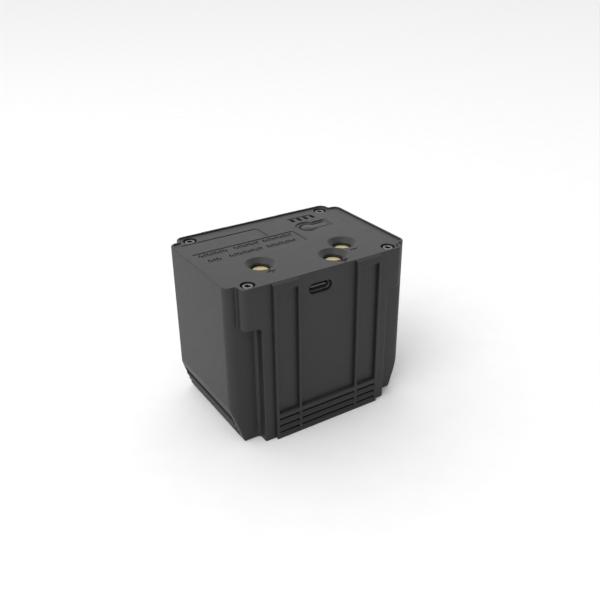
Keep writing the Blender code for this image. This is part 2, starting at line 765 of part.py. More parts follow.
def make_links(looks):
    """Nickel links: one joins all four cells on the left, and one joins each row on the right."""
    near = CELL_LENGTH / 2 + GAP
    far = near + NICKEL_THICK
    half_y = CELL_Y + 0.0035
    middle_z = (CELL_LOW_Z + CELL_HIGH_Z) / 2
    tall = rounded_rectangle(half_y, CELL_PITCH / 2 + 0.0035, 0.0010, 3)
    plate("series_link", [shifted(tall, 0, middle_z)], -far, -near, looks, "YZ")
    strip = rounded_rectangle(half_y, 0.0035, 0.0010, 3)
    plate("negative_link", [shifted(strip, 0, CELL_HIGH_Z)], near, far, looks, "YZ")
    plate("positive_link", [shifted(strip, 0, CELL_LOW_Z)], near, far, looks, "YZ")


def smooth_route(points, steps=3):
    """Points on a smooth curve through a route's own points."""
    route = [Vector(point) for point in points]
    padded = [2 * route[0] - route[1], *route, 2 * route[-1] - route[-2]]
    smoothed = []
    for index in range(1, len(padded) - 2):
        before, start, stop, after = padded[index - 1:index + 3]
        for step in range(steps):
            t = step / steps
            drift = stop - before
            bend = 2 * before - 5 * start + 4 * stop - after
            twist = 3 * start - before - 3 * stop + after
            smoothed.append(start + 0.5 * (drift * t + bend * t * t + twist * t * t * t))
    smoothed.append(route[-1])
    return smoothed


def lead(name, points, looks):
    """A round insulated lead along a smooth route."""
    curve = bpy.data.curves.new(name, "CURVE")
    curve.dimensions = "3D"
    curve.bevel_depth = LEAD_RADIUS
    curve.bevel_resolution = 2
    curve.use_fill_caps = True
    route = smooth_route(points)
    spline = curve.splines.new("POLY")
    spline.points.add(len(route) - 1)
    for point, place in zip(spline.points, route):
        point.co = (*place, 1)
    return add(name, curve, looks)


def make_leads(red, black, yellow):
    """Leads from the nickel links up to the board's edges."""
    stand_off = CELL_LENGTH / 2 + NICKEL_THICK + 2 * GAP + LEAD_RADIUS
    over_board = PART_SEAT + LEAD_RADIUS
    past_edge = BOARD_HALF_LENGTH + 0.0026
    landing = BOARD_HALF_LENGTH - 0.0026
    ends = (
        ("positive_lead", 1, -0.0060, CELL_LOW_Z, red),
        ("negative_lead", 1, 0.0060, CELL_HIGH_Z, black),
        ("balance_lead", -1, 0.0000, CELL_HIGH_Z, yellow),
    )
    for name, side, y, start_z, looks in ends:
        route = [
            (side * stand_off, y, start_z),
            (side * stand_off, y, (start_z + HOLDER_TOP) / 2),
            (side * stand_off, y, HOLDER_TOP),
            (side * (stand_off - 0.0020), y, 0.0520),
            (side * past_edge, y, over_board + 0.0006),
            (side * landing, y, over_board),
        ]
        lead(name, route, looks)


def make_padding(foam, sheet):
    """Foam under, before and behind the cells, and the sheet that keeps the board off them."""
    half_floor = block_half_length(FLOOR) - WALL - 0.0020
    low = FLOOR + GAP
    cells_bottom = CELL_LOW_Z - CELL_PITCH / 2 + 0.0001
    half_depth = HALF_BLOCK - WALL - 0.0010
    box("base_pad", (-half_floor, -half_depth, low), (half_floor, half_depth, cells_bottom - GAP), foam)
    near = CELL_Y + CELL_RADIUS + GAP
    far = HALF_SLAB - WALL - GAP
    reach = HALF_SLAB_LENGTH - WALL - 0.0020
    pad_low = cells_bottom + 0.0010
    pad_high = HOLDER_TOP - 0.0010
    box("front_pad", (-reach, -far, pad_low), (reach, -near, pad_high), foam)
    box("back_pad", (-reach, near, pad_low), (reach, far, pad_high), foam)
    span = BOARD_HALF_LENGTH
    side = SHAFT_HALF_DEPTH - 2 * GAP
    sheet_low = HOLDER_TOP + GAP
    box("insulation_sheet", (-span, -side, sheet_low), (span, side, sheet_low + 0.0005), sheet)


def make_board(looks):
    """The board on its ledges."""
    outline = rounded_rectangle(BOARD_HALF_LENGTH, BOARD_HALF_DEPTH, 0.0010, 3)
    plate("circuit_board", [outline], BOARD_BOTTOM, BOARD_TOP, looks)


def make_usb(steel, plastic):
    """The USB-C socket: a drawn steel shell round a plastic tongue."""
    front = -HALF_SLAB + USB_SET_BACK
    back = front + USB_LENGTH
    shell = plate("usb_shell", [usb_outline(0)], front, back, steel, "XZ")
    inside = [usb_outline(-USB_SHEET)]
    cut(shell, plate("usb_mouth", inside, front - GAP, back - USB_SHEET, plane="XZ"))
    smooth(shell)
    tongue_front = front + 0.0007
    base_front = back - 0.0022
    base_back = back - USB_SHEET - GAP
    tongue = [
        (USB_X - 0.0034, tongue_front), (USB_X + 0.0034, tongue_front), (USB_X + 0.0034, base_front),
        (USB_X + 0.0037, base_front), (USB_X + 0.0037, base_back), (USB_X - 0.0037, base_back),
        (USB_X - 0.0037, base_front), (USB_X - 0.0034, base_front),
    ]
    plate("usb_tongue", [tongue], USB_Z - 0.00035, USB_Z + 0.00035, plastic)


def make_lights(guide_looks, chip_looks):
    """Four lights on the board, and the clear guide that carries them up to the lid."""
    bar_top = LID_UNDERSIDE - GAP
    bar_bottom = bar_top - GUIDE_THICK
    chip_top = PART_SEAT + LIGHT_CHIP[2]
    low = (light_x(0) - GUIDE_PAST_LIGHT, LIGHT_Y - GUIDE_HALF_DEPTH, bar_bottom)
    high = (light_x(LIGHT_COUNT - 1) + GUIDE_PAST_LIGHT, LIGHT_Y + GUIDE_HALF_DEPTH, bar_top)
    guide = box("light_guide", low, high, guide_looks)
    for index in range(LIGHT_COUNT):
        pad = pill(index, -GAP)
        join(guide, plate(f"light_pad_{index + 1}", [pad], chip_top + GAP, FIELD - GAP))
        x = light_x(index)
        chip_low = (x - LIGHT_CHIP[0] / 2, LIGHT_Y - LIGHT_CHIP[1] / 2, PART_SEAT)
        chip_high = (x + LIGHT_CHIP[0] / 2, LIGHT_Y + LIGHT_CHIP[1] / 2, chip_top)
        box(f"light_chip_{index + 1}", chip_low, chip_high, chip_looks)


def make_board_parts(chip_looks, core_looks):
    """The larger parts soldered to the board."""
    parts = (
        ("charge_chip", (-0.0060, 0.0040), (0.0050, 0.0050), 0.0009, chip_looks),
        ("power_coil", (-0.0150, 0.0060), (0.0066, 0.0066), 0.0030, core_looks),
        ("cell_guard_chip", (-0.0040, 0.0150), (0.0030, 0.0030), 0.0009, chip_looks),
        ("power_switch_chip", (0.0040, 0.0150), (0.0050, 0.0060), 0.0011, chip_looks),
    )
    for name, (x, y), (size_x, size_y), tall, looks in parts:
        low = (x - size_x / 2, y - size_y / 2, PART_SEAT)
        high = (x + size_x / 2, y + size_y / 2, PART_SEAT + tall)
        box(name, low, high, looks, 0.0002)


def build():
    """Make every part."""
    reset_scene()
    case_plastic = material("case_plastic", (0.042, 0.044, 0.043), 0.55)
    button_plastic = material("button_plastic", (0.045, 0.047, 0.046), 0.50)
    steel = material("screw_steel", (0.16, 0.16, 0.16), 0.35, 1.0)
    brass = material("brass", (0.76, 0.58, 0.28), 0.28, 1.0)
    nickel = material("nickel", (0.66, 0.64, 0.60), 0.30, 1.0)
    shell_steel = material("shell_steel", (0.50, 0.49, 0.46), 0.30, 1.0)
    rubber = material("rubber", (0.02, 0.02, 0.02), 0.80)
    foam = material("foam", (0.06, 0.06, 0.065), 0.95)
    sheet = material("insulation", (0.32, 0.42, 0.36), 0.75)
    sleeve = material("cell_sleeve", (0.04, 0.16, 0.36), 0.40)
    holder_plastic = material("holder_plastic", (0.05, 0.05, 0.05), 0.60)
    board_green = material("board", (0.02, 0.12, 0.06), 0.45)
    chip_black = material("chip", (0.02, 0.02, 0.022), 0.50)
    core_grey = material("ferrite", (0.09, 0.09, 0.09), 0.60)
    clear = material("light_guide", (0.80, 0.82, 0.84), 0.20)
    lamp_white = material("lamp", (0.85, 0.85, 0.80), 0.40)
    tongue_black = material("socket_plastic", (0.015, 0.015, 0.016), 0.50)
    red = material("lead_red", (0.45, 0.03, 0.03), 0.50)
    black = material("lead_black", (0.02, 0.02, 0.02), 0.50)
    yellow = material("lead_yellow", (0.60, 0.45, 0.04), 0.50)

    make_case(case_plastic)
    make_lid(case_plastic)
    make_button(button_plastic)
    make_switch(chip_black, button_plastic)
    make_screws(steel)
    make_inserts(brass)
    make_seal(rubber)
    make_contacts(brass)
    make_cells(sleeve)
    make_holders(holder_plastic)
    make_links(nickel)
    make_leads(red, black, yellow)
    make_padding(foam, sheet)
    make_board(board_green)
    make_usb(shell_steel, tongue_black)
    make_lights(clear, lamp_white)
    make_board_parts(chip_black, core_grey)


build()
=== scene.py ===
"""Looks of a small lithium battery cartridge: moulded shells, contacts, screws and studio."""

import json
import math

import bmesh
import bpy
from mathutils import Matrix, Vector


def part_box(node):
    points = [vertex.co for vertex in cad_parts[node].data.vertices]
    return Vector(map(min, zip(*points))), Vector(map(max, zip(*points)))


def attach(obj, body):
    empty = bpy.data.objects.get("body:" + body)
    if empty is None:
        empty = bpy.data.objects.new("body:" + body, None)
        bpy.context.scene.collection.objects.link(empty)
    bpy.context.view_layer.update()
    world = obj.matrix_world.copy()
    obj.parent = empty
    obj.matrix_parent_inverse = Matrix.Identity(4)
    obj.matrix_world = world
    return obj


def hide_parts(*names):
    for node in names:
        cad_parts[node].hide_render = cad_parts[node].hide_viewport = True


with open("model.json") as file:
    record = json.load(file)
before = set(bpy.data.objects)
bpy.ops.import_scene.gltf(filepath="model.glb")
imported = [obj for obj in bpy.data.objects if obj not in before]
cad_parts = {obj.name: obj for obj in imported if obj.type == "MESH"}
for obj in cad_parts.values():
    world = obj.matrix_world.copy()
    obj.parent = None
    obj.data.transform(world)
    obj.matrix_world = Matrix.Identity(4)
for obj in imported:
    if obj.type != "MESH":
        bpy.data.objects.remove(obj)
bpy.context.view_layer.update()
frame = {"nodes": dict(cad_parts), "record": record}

# ---- Sizes read from the frame ----
lid_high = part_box("lid")[1]
case_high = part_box("case_body")[1]
HEIGHT = lid_high.z
HALF_LENGTH = lid_high.x
HALF_SLAB = lid_high.y
PROUD = case_high.y - HALF_SLAB
CASE_RIM = case_high.z

# ---- Shell ----
HALF_BLOCK = 0.0227
SLAB_X = 0.0269
HALF_BOSS = 0.03385
SCREW_X = 0.0294
SCREW_Y = 0.0226
BOSS_RADIUS = 0.0030
BOSS_BOTTOM = 0.04775
BOSS_FILLET = 0.0018
BLOCK_RADIUS = 0.0030
CORNER_SOFT = 0.0005
CORNER_RUN = 0.0322
CORNER_STEPS = 30
VALLEY_RADIUS = 0.0014
NOTCH_RADIUS = 0.0006
SLAB_EDGE = 0.0005
BLOCK_FOOT = 0.0007
SLAB_FOOT = 0.00025
BOSS_FOOT = 0.00045
TAPER_TOP = 0.0146
TAPER_IN = 0.00467
TAPER_BLEND = 0.0010
PART_LINE = 0.00003
WALL = 0.0022
GAP = 0.0003
SHARP_ANGLE = 24

# ---- Frame, louvres and grips ----
RIB_WIDTH = 0.00115
RIB_ROUND = 0.0003
RIBS_X = (0.0221, 0.01245)
BORDER_LOW = 0.0604
RAMP_TOP = 0.0634
RAMP_BEND = 0.0629
BEND_BACK = 0.26
TOP_BACK = 0.94
BAND_TOP = 0.0110
BAND_EDGE = 0.0107
LIPS_Z = (0.0089, 0.0060, 0.0032)
SLOT_HIGH = 0.0008
SLOT_DEEP = 0.00135
GRIP_FRONT = -0.0194
GRIP_BACK = 0.0208
GRIP_TOP = 0.0103
GRIP_LOW = 0.0015
GRIP_DEEP = 0.0018
GRIP_LIPS = ((0.03615, 0.0071), (0.0353, 0.0045), (0.0346, 0.0023))
GRIP_RISER = 0.0006
GRIP_BOARD = 0.0020
GRIP_BOARD_DEEP = 0.0014
GRIP_STEP_DEEP = 0.0011

# ---- Lid ----
LID_FLANGE = 0.0013
LID_EDGE = 0.00035
LID_THICK = 0.0034
RIM_WIDTH = 0.0009
RIM_HEIGHT = 0.0005
LINE_RADIUS = 0.0005
MARK_RADIUS = 0.00036

WELL_RIM = 0.00555
WELL_BORE = 0.00345
WELL_FUNNEL = 0.00155

BUTTON_X = 0.01575
BUTTON_Y = 0.0104
BUTTON_RADIUS = 0.00295
ARM_HALF = 0.0016
SLOT_WIDTH = 0.00052
KEYHOLE_RADIUS = 0.00505
STEM_HALF = 0.0034
STEM_END_X = 0.0258
KEYHOLE_DEPTH = 0.0005
TONGUE_THICK = 0.0010

LIGHT_COUNT = 4
LIGHT_PITCH = 0.0031
LIGHT_X = 0.0138
LIGHT_Y = 0.0188
LIGHT_HALF_X = 0.0007
LIGHT_HALF_Y = 0.0017

TICK_PITCH = 0.00106
TICK_LEAN = 0.25
SHORT_TICK = 0.72
TICK_HIGH = 0.0025
MARK_DROP = 0.0076
LINES_X = -0.0343
UPPER_LINE_Y = 0.0194
LOWER_LINE_Y = 0.0094

# ---- Rooms and seats ----
CELL_ROOM_Z = (0.0020, 0.0474)
PAD_ROOM_Z = (0.0023, 0.0473)
LEAD_ROOM_Z = (0.0470, 0.0534)
LEAD_ROOM_END = 0.0210
BOARD_ROOM_LOW = 0.0531
PLUG_END = 0.0244
SEAL_WIDTH = 0.0009
SEAL_DEPTH = 0.0013
CUP_RADIUS = 0.0031
CUP_LOW = 0.0593
CUP_SEAT_RADIUS = 0.0034
CUP_SEAT_LOW = 0.0590
INSERT_SEAT_RADIUS = 0.0019
INSERT_SEAT_Z = (0.0545, 0.0595)
COUNTERBORE_RADIUS = 0.0026
COUNTERBORE_SEAT = 0.0604
SCREW_HOLE = 0.0013

# ---- Screws and contacts ----
SCREW_HEAD = 0.0020
SCREW_KEY = 0.0020
SCREW_FLUTES = 28
SCREW_PITCH = 0.0004
CONTACT_FACE = 0.0030
COLLAR_RADIUS = 0.0042
COLLAR_THICK = 0.0009
STEM_RADIUS = 0.0015
POST_RADIUS = 0.0010

# ---- Socket ----
SOCKET_SHEET = 0.0003
SOCKET_GAP = 0.0003
TONGUE_HALF = 0.0034
TONGUE_BASE = 0.0016
PADS_IN_ROW = 12
PAD_PITCH = 0.0005
PAD_HALF = 0.00012

# ---- Camera and light ----
CAMERA_AIM = (0.0, -0.0083, 0.0429)
CAMERA_AZIMUTH = -32.14
CAMERA_ELEVATION = 27.35
CAMERA_DISTANCE = 0.2749
CAMERA_ROLL = -0.546
CAMERA_LENS = 43.78
WORLD_AXIS = (-0.3, 0.9, 0.3)
WORLD_FRONT = 0.1
WORLD_BACK = 1.34

# ---- Levels worked out ----
LID_SEAT = HEIGHT - LID_FLANGE
LID_UNDERSIDE = HEIGHT - LID_THICK
FIELD = HEIGHT - RIM_HEIGHT
TUB_TOP = LID_SEAT - PART_LINE
TONGUE_TOP = FIELD - KEYHOLE_DEPTH
TONGUE_BOTTOM = TONGUE_TOP - TONGUE_THICK
FRAME_FACE = HALF_SLAB + PROUD
BUTTON_ROOT_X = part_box("check_button")[1].x
DOME_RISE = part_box("check_button")[1].z - TONGUE_TOP


# ---- Outlines ----
def arc(centre, radius, start, stop, steps):
    """Points on an arc, from start to stop in degrees."""
    points = []
    for index in range(steps + 1):
        angle = math.radians(start + (stop - start) * index / steps)
        points.append((centre[0] + radius * math.cos(angle), centre[1] + radius * math.sin(angle)))
    return points


def circle(centre, radius, steps):
    """A closed ring of points."""
    return arc(centre, radius, 0, 360, steps)[:-1]


def shifted(points, by):
    """The same outline, moved."""
    return [(x + by[0], y + by[1]) for x, y in points]


def rounded_rectangle(half_x, half_y, radius, steps=8, centre=(0, 0)):
    """A rectangle with round corners, anticlockwise."""
    points = []
    for side_x, side_y, start in ((1, 1, 0), (-1, 1, 90), (-1, -1, 180), (1, -1, 270)):
        middle = (centre[0] + side_x * (half_x - radius), centre[1] + side_y * (half_y - radius))
        points += arc(middle, radius, start, start + 90, steps)
    return points


def four_fold(quarter):
    """A whole outline from its first quarter, given anticlockwise."""
    half = quarter + [(-x, y) for x, y in reversed(quarter)]
    return half + [(-x, -y) for x, y in half]


def block_half_length(z):
    """Half the case's length at a height: straight, then a soft turn into the foot's taper."""
    slope = TAPER_IN / TAPER_TOP
    drop = TAPER_TOP - z
    if drop >= TAPER_BLEND:
        inward = slope * drop
    elif drop <= -TAPER_BLEND:
        inward = 0.0
    else:
        inward = slope * (drop + TAPER_BLEND) ** 2 / (4 * TAPER_BLEND)
    return HALF_LENGTH - inward


def foot_inset(z, radius):
    """How far a rounded foot edge of this radius draws in at a height."""
    if z >= radius:
        return 0.0
    return radius - math.sqrt(radius ** 2 - (radius - z) ** 2)


def block_corner(end, side, inset):
    """An end block's corner: a soft turn off the end plane, the round corner, a straight run."""
    soft = max(CORNER_SOFT - inset, 0.00005)
    radius = BLOCK_RADIUS - inset
    centre = (HALF_LENGTH - BLOCK_RADIUS, side - radius)
    turn_x = end - soft
    turn_y = side - soft
    angle = 90.0
    if turn_x > centre[0]:
        reach = min(turn_x - centre[0], radius - soft)
        rise = math.sqrt((radius - soft) ** 2 - reach ** 2)
        turn_y = centre[1] + rise
        angle = math.degrees(math.atan2(rise, reach))
    soft_length = soft * math.radians(angle)
    round_length = radius * math.radians(90 - angle)
    start_x = min(turn_x, centre[0])
    total = soft_length + round_length + start_x - CORNER_RUN
    points = []
    for index in range(CORNER_STEPS + 1):
        along = total * index / CORNER_STEPS
        if along < soft_length:
            turn = along / soft
            points.append((turn_x + soft * math.cos(turn), turn_y + soft * math.sin(turn)))
        elif along < soft_length + round_length:
            turn = math.radians(angle) + (along - soft_length) / radius
            points.append((centre[0] + radius * math.cos(turn), centre[1] + radius * math.sin(turn)))
        else:
            points.append((start_x - (along - soft_length - round_length), side))
    return points


def case_outline(z):
    """The tub's plan at a height: end blocks and the deeper slab, with a hollow radius between."""
    block_in = foot_inset(z, BLOCK_FOOT)
    slab_in = foot_inset(z, SLAB_FOOT)
    quarter = block_corner(block_half_length(z) - slab_in, HALF_BLOCK - block_in, block_in)
    valley = (SLAB_X + VALLEY_RADIUS, HALF_BLOCK + VALLEY_RADIUS)
    for step in range(9):
        turn = math.radians(270 - 90 * step / 8)
        radius = VALLEY_RADIUS + block_in + (slab_in - block_in) * step / 8
        quarter.append((valley[0] + radius * math.cos(turn), valley[1] + radius * math.sin(turn)))
    edge = max(SLAB_EDGE - slab_in, 0.00005)
    quarter += arc((SLAB_X - slab_in - edge, HALF_SLAB - slab_in - edge), edge, 0, 90, 5)
    return four_fold(quarter)


def boss_corner(inset):
    """A screw boss from the hollow where it meets the block, round to the slab's face."""
    middle = (HALF_BOSS + NOTCH_RADIUS, HALF_BLOCK + NOTCH_RADIUS)
    points = arc(middle, NOTCH_RADIUS + inset, 270, 180, 5)
    centre = (HALF_BOSS - BOSS_RADIUS, HALF_SLAB - BOSS_RADIUS)
    return points + arc(centre, BOSS_RADIUS - inset, 0, 90, 12)


def boss_outline(inset):
    """The plan through the screw bosses."""
    start = (HALF_BOSS + NOTCH_RADIUS, HALF_BLOCK - 0.0010)
    return four_fold([start, *boss_corner(inset)])


def lid_outline(inset):
    """The lid's plan: the end blocks with the four screw bosses."""
    centre = (HALF_LENGTH - BLOCK_RADIUS, HALF_BLOCK - BLOCK_RADIUS)
    return four_fold(arc(centre, BLOCK_RADIUS - inset, 0, 90, 12) + boss_corner(inset))


def room_outline(half_length, grow=0.0):
    """The plus-shaped plan of the room under the lid."""
    radius = 0.0010
    shaft_end = HALF_LENGTH - WALL + grow
    shaft_side = 0.0178 + grow
    bay_side = HALF_SLAB - WALL + grow
    quarter = arc((shaft_end - radius, shaft_side - radius), radius, 0, 90, 4)
    quarter += [(half_length + grow, shaft_side)]
    quarter += arc((half_length + grow - radius, bay_side - radius), radius, 0, 90, 4)
    return four_fold(quarter)


def keyhole(radius, stem_half, end_x, end_radius=0.0005):
    """The outline of a disc with a straight stem towards +X."""
    swing = math.degrees(math.asin(stem_half / radius))
    points = arc((BUTTON_X, BUTTON_Y), radius, swing, 360 - swing, 44)
    corner_x = end_x - end_radius
    points += arc((corner_x, BUTTON_Y - stem_half + end_radius), end_radius, 270, 360, 5)
    points += arc((corner_x, BUTTON_Y + stem_half - end_radius), end_radius, 0, 90, 5)
    return points


def fillet(radius, steps):
    """Pairs of (rise, inset) round a quarter circle, from its edge inwards."""
    turns = [math.radians(90 * index / steps) for index in range(steps + 1)]
    return [(radius * math.sin(turn), radius * (1 - math.cos(turn))) for turn in turns]


# ---- Solids ----
def add(name, data):
    """Link a new object to the scene."""
    obj = bpy.data.objects.new(name, data)
    bpy.context.scene.collection.objects.link(obj)
    return obj


def mesh_from(name, work):
    """An object from a bmesh, with its faces pointing out."""
    bmesh.ops.recalc_face_normals(work, faces=work.faces)
    mesh = bpy.data.meshes.new(name)
    work.to_mesh(mesh)
    work.free()
    return add(name, mesh)


def loft(name, rings):
    """A solid through rings of 3D points, each with the same count."""
    work = bmesh.new()
    levels = [[work.verts.new(point) for point in ring] for ring in rings]
    count = len(levels[0])
    work.faces.new(list(reversed(levels[0])))
    work.faces.new(levels[-1])
    for low, high in zip(levels, levels[1:]):
        for index in range(count):
            after = (index + 1) % count
            work.faces.new((low[index], low[after], high[after], high[index]))
    return mesh_from(name, work)


def flat(outline, z):
    """An outline placed at a height."""
    return [(x, y, z) for x, y in outline]


def prism(name, outline, low, high):
    """A solid with upright sides."""
    return loft(name, [flat(outline, low), flat(outline, high)])


def bar_along_x(name, profile, low, high):
    """A solid of (y, z) points drawn out along X."""
    return loft(name, [[(x, y, z) for y, z in profile] for x in (low, high)])


def bar_along_y(name, profile, low, high):
    """A solid of (x, z) points drawn out along Y."""
    return loft(name, [[(x, y, z) for x, z in profile] for y in (low, high)])


def turned(name, profile, steps, at=(0, 0)):
    """A solid of revolution about an upright axis: (radius, height), down the outer side."""
    work = bmesh.new()
    rings = []
    for radius, height in profile:
        if radius == 0:
            rings.append([work.verts.new((at[0], at[1], height))] * steps)
            continue
        ring = []
        for step in range(steps):
            angle = 2 * math.pi * step / steps
            place = (at[0] + radius * math.cos(angle), at[1] + radius * math.sin(angle), height)
            ring.append(work.verts.new(place))
        rings.append(ring)
    for upper, lower in zip(rings, rings[1:]):
        for index in range(steps):
            after = (index + 1) % steps
            corners = [upper[index], lower[index], lower[after], upper[after]]
            unique = list(dict.fromkeys(corners))
            work.faces.new(unique)
    if profile[0][0] > 0:
        for index in range(steps):
            after = (index + 1) % steps
            work.faces.new((rings[-1][index], rings[0][index], rings[0][after], rings[-1][after]))
    return mesh_from(name, work)


def tube(name, points, radius, sides):
    """A round bar along points, as a mesh with capped ends."""
    curve = bpy.data.curves.new(name, "CURVE")
    curve.dimensions = "3D"
    curve.bevel_depth = radius
    curve.bevel_resolution = max(sides // 2 - 2, 0)
    curve.use_fill_caps = True
    spline = curve.splines.new("POLY")
    spline.points.add(len(points) - 1)
    for point, place in zip(spline.points, points):
        point.co = (*place, 1)
    return as_mesh(add(name, curve))


def soft_plate(name, outline, low, high, edge):
    """A flat piece with rounded edges, between two heights."""
    curve = bpy.data.curves.new(name, "CURVE")
    curve.dimensions = "2D"
    curve.fill_mode = "BOTH"
    curve.extrude = (high - low) / 2 - edge
    curve.bevel_depth = edge
    curve.bevel_resolution = 2
    curve.offset = -edge
    spline = curve.splines.new("POLY")
    spline.points.add(len(outline) - 1)
    for point, (x, y) in zip(spline.points, outline):
        point.co = (x, y, 0, 1)
    spline.use_cyclic_u = True
    obj = add(name, curve)
    obj.location = (0, 0, (low + high) / 2)
    return as_mesh(obj)


def as_mesh(obj):
    """Replace an object by the welded mesh that it shows, in place."""
    bpy.context.view_layer.update()
    graph = bpy.context.evaluated_depsgraph_get()
    mesh = bpy.data.meshes.new_from_object(obj.evaluated_get(graph))
    mesh.transform(obj.matrix_world)
    name = obj.name
    bpy.data.objects.remove(obj, do_unlink=True)
    work = bmesh.new()
    work.from_mesh(mesh)
    bmesh.ops.remove_doubles(work, verts=work.verts, dist=1e-6)
    bpy.data.meshes.remove(mesh)
    return mesh_from(name, work)


def combined(target, others, operation):
    """The target cut by, joined to or kept within the others, which are used up."""
    for other in others:
        step = target.modifiers.new("combine", "BOOLEAN")
        step.operation = operation
        step.object = other
    made = as_mesh(target)
    for other in others:
        bpy.data.objects.remove(other, do_unlink=True)
    return made


def joined(target, *others):
    """The union of solids."""
    return combined(target, others, "UNION")


def cut(target, *others):
    """The target less the other solids."""
    return combined(target, others, "DIFFERENCE")


def as_one(name, solids):
    """Separate solids in one mesh."""
    work = bmesh.new()
    for solid in solids:
        work.from_mesh(solid.data)
        bpy.data.objects.remove(solid, do_unlink=True)
    return mesh_from(name, work)


def mirrored(name, solid, across):
    """The solid with its reflection in the plane across an axis, as one mesh of two bodies."""
    work = bmesh.new()
    work.from_mesh(solid.data)
    copy = bmesh.ops.duplicate(work, geom=work.verts[:] + work.edges[:] + work.faces[:])
    verts = [item for item in copy["geom"] if isinstance(item, bmesh.types.BMVert)]
    scale = Vector([-1 if axis == across else 1 for axis in "XYZ"])
    bmesh.ops.scale(work, vec=scale, verts=verts)
    bpy.data.objects.remove(solid, do_unlink=True)
    return mesh_from(name, work)


def finished(obj, body, nodes, look):
    """Shade a piece, give it its material and put it in the place of its CAD nodes."""
    obj.data.shade_smooth()
    obj.data.set_sharp_from_angle(angle=math.radians(SHARP_ANGLE))
    obj.data.materials.clear()
    obj.data.materials.append(look)
    even = obj.modifiers.new("even_normals", "WEIGHTED_NORMAL")
    even.keep_sharp = True
    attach(obj, body)
    if nodes:
        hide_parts(*nodes)
    return obj


# ---- Tub ----
def rib(name, x):
    """One upright rib with a rounded face, which leans back to the lid at its top."""
    half = RIB_WIDTH / 2
    plan = [(x + half, GAP - HALF_SLAB)]
    plan += reversed(arc((x + half - RIB_ROUND, RIB_ROUND - FRAME_FACE), RIB_ROUND, 270, 360, 6))
    plan += reversed(arc((x - half + RIB_ROUND, RIB_ROUND - FRAME_FACE), RIB_ROUND, 180, 270, 6))
    plan += [(x - half, GAP - HALF_SLAB)]
    levels = (
        (0.0010, 0.0),
        (BORDER_LOW + 0.0004, 0.04),
        (RAMP_BEND, BEND_BACK),
        (RAMP_TOP, TOP_BACK),
    )
    rings = []
    for z, back in levels:
        shift = back * PROUD
        rings.append([(px, min(py + shift, GAP - HALF_SLAB), z) for px, py in plan])
    top_face = -HALF_SLAB - 0.06 * PROUD
    rings[-1] = [(px, max(py, top_face), z) for px, py, z in rings[-1]]
    return loft(name, rings)


def top_border(name, low_x, high_x):
    """The border over a side panel: it leans back from its lower edge to the lid's top."""
    front = 0.0001 - FRAME_FACE
    profile = [
        (GAP - HALF_SLAB, BORDER_LOW),
        (front + 0.00015, BORDER_LOW),
        (front + 0.00004, BORDER_LOW + 0.00004),
        (front, BORDER_LOW + 0.00015),
        (front, BORDER_LOW + 0.0003),
        (-HALF_SLAB - (1 - BEND_BACK) * PROUD, RAMP_BEND),
        (-HALF_SLAB - 0.00008, RAMP_TOP),
        (GAP - HALF_SLAB, RAMP_TOP),
    ]
    return bar_along_x(name, profile, low_x, high_x)


def band_profile():
    """The louvred band in (y, z): a ledge with a round edge, then lips over deep slots."""

    def at(depth, z):
        return (depth - FRAME_FACE, z)

    points = [at(PROUD + GAP, BAND_TOP), at(PROUD, BAND_TOP), at(0.0005, BAND_EDGE + 0.00013)]
    points += [at(0.0002, BAND_EDGE), at(0.00005, BAND_EDGE - 0.0002), at(0, BAND_EDGE - 0.00045)]
    for index, lip in enumerate(LIPS_Z):
        last = index == len(LIPS_Z) - 1
        below = 0.0009 if last else LIPS_Z[index + 1] + 0.0006
        points += [at(0, lip + 0.0001), at(0.0001, lip)]
        points += [at(SLOT_DEEP, lip - 0.00012), at(SLOT_DEEP, lip - SLOT_HIGH)]
        points += [at(0.00045, lip - SLOT_HIGH - 0.0002), at(0, below)]
    points += [at(0, SLAB_FOOT), at(0.3 * SLAB_FOOT, 0.3 * SLAB_FOOT), at(SLAB_FOOT, 0.0)]
    return points + [at(PROUD + GAP, 0.0)]


def front_frames():
    """Ribs, borders and louvres, on the front and the back."""
    outer, inner = RIBS_X
    solids = [rib(f"rib_{x}", x) for x in (-outer, -inner, inner, outer)]
    for side in (-1, 1):
        middle = side * (outer + inner) / 2
        half = (outer - inner) / 2
        solids.append(top_border(f"border_{side}", middle - half, middle + half))
    reach = outer + RIB_WIDTH / 2 - 0.0002
    band = bar_along_x("louvres", band_profile(), -reach, reach)
    lid_room = prism("lid_room", lid_outline(-PART_LINE), TUB_TOP, HEIGHT + GAP)
    return mirrored("frames", cut(joined(band, *solids), lid_room), "Y")


def taper_x(z):
    """The plane of the tapered foot at a height."""
    return HALF_LENGTH - TAPER_IN * (TAPER_TOP - z) / TAPER_TOP


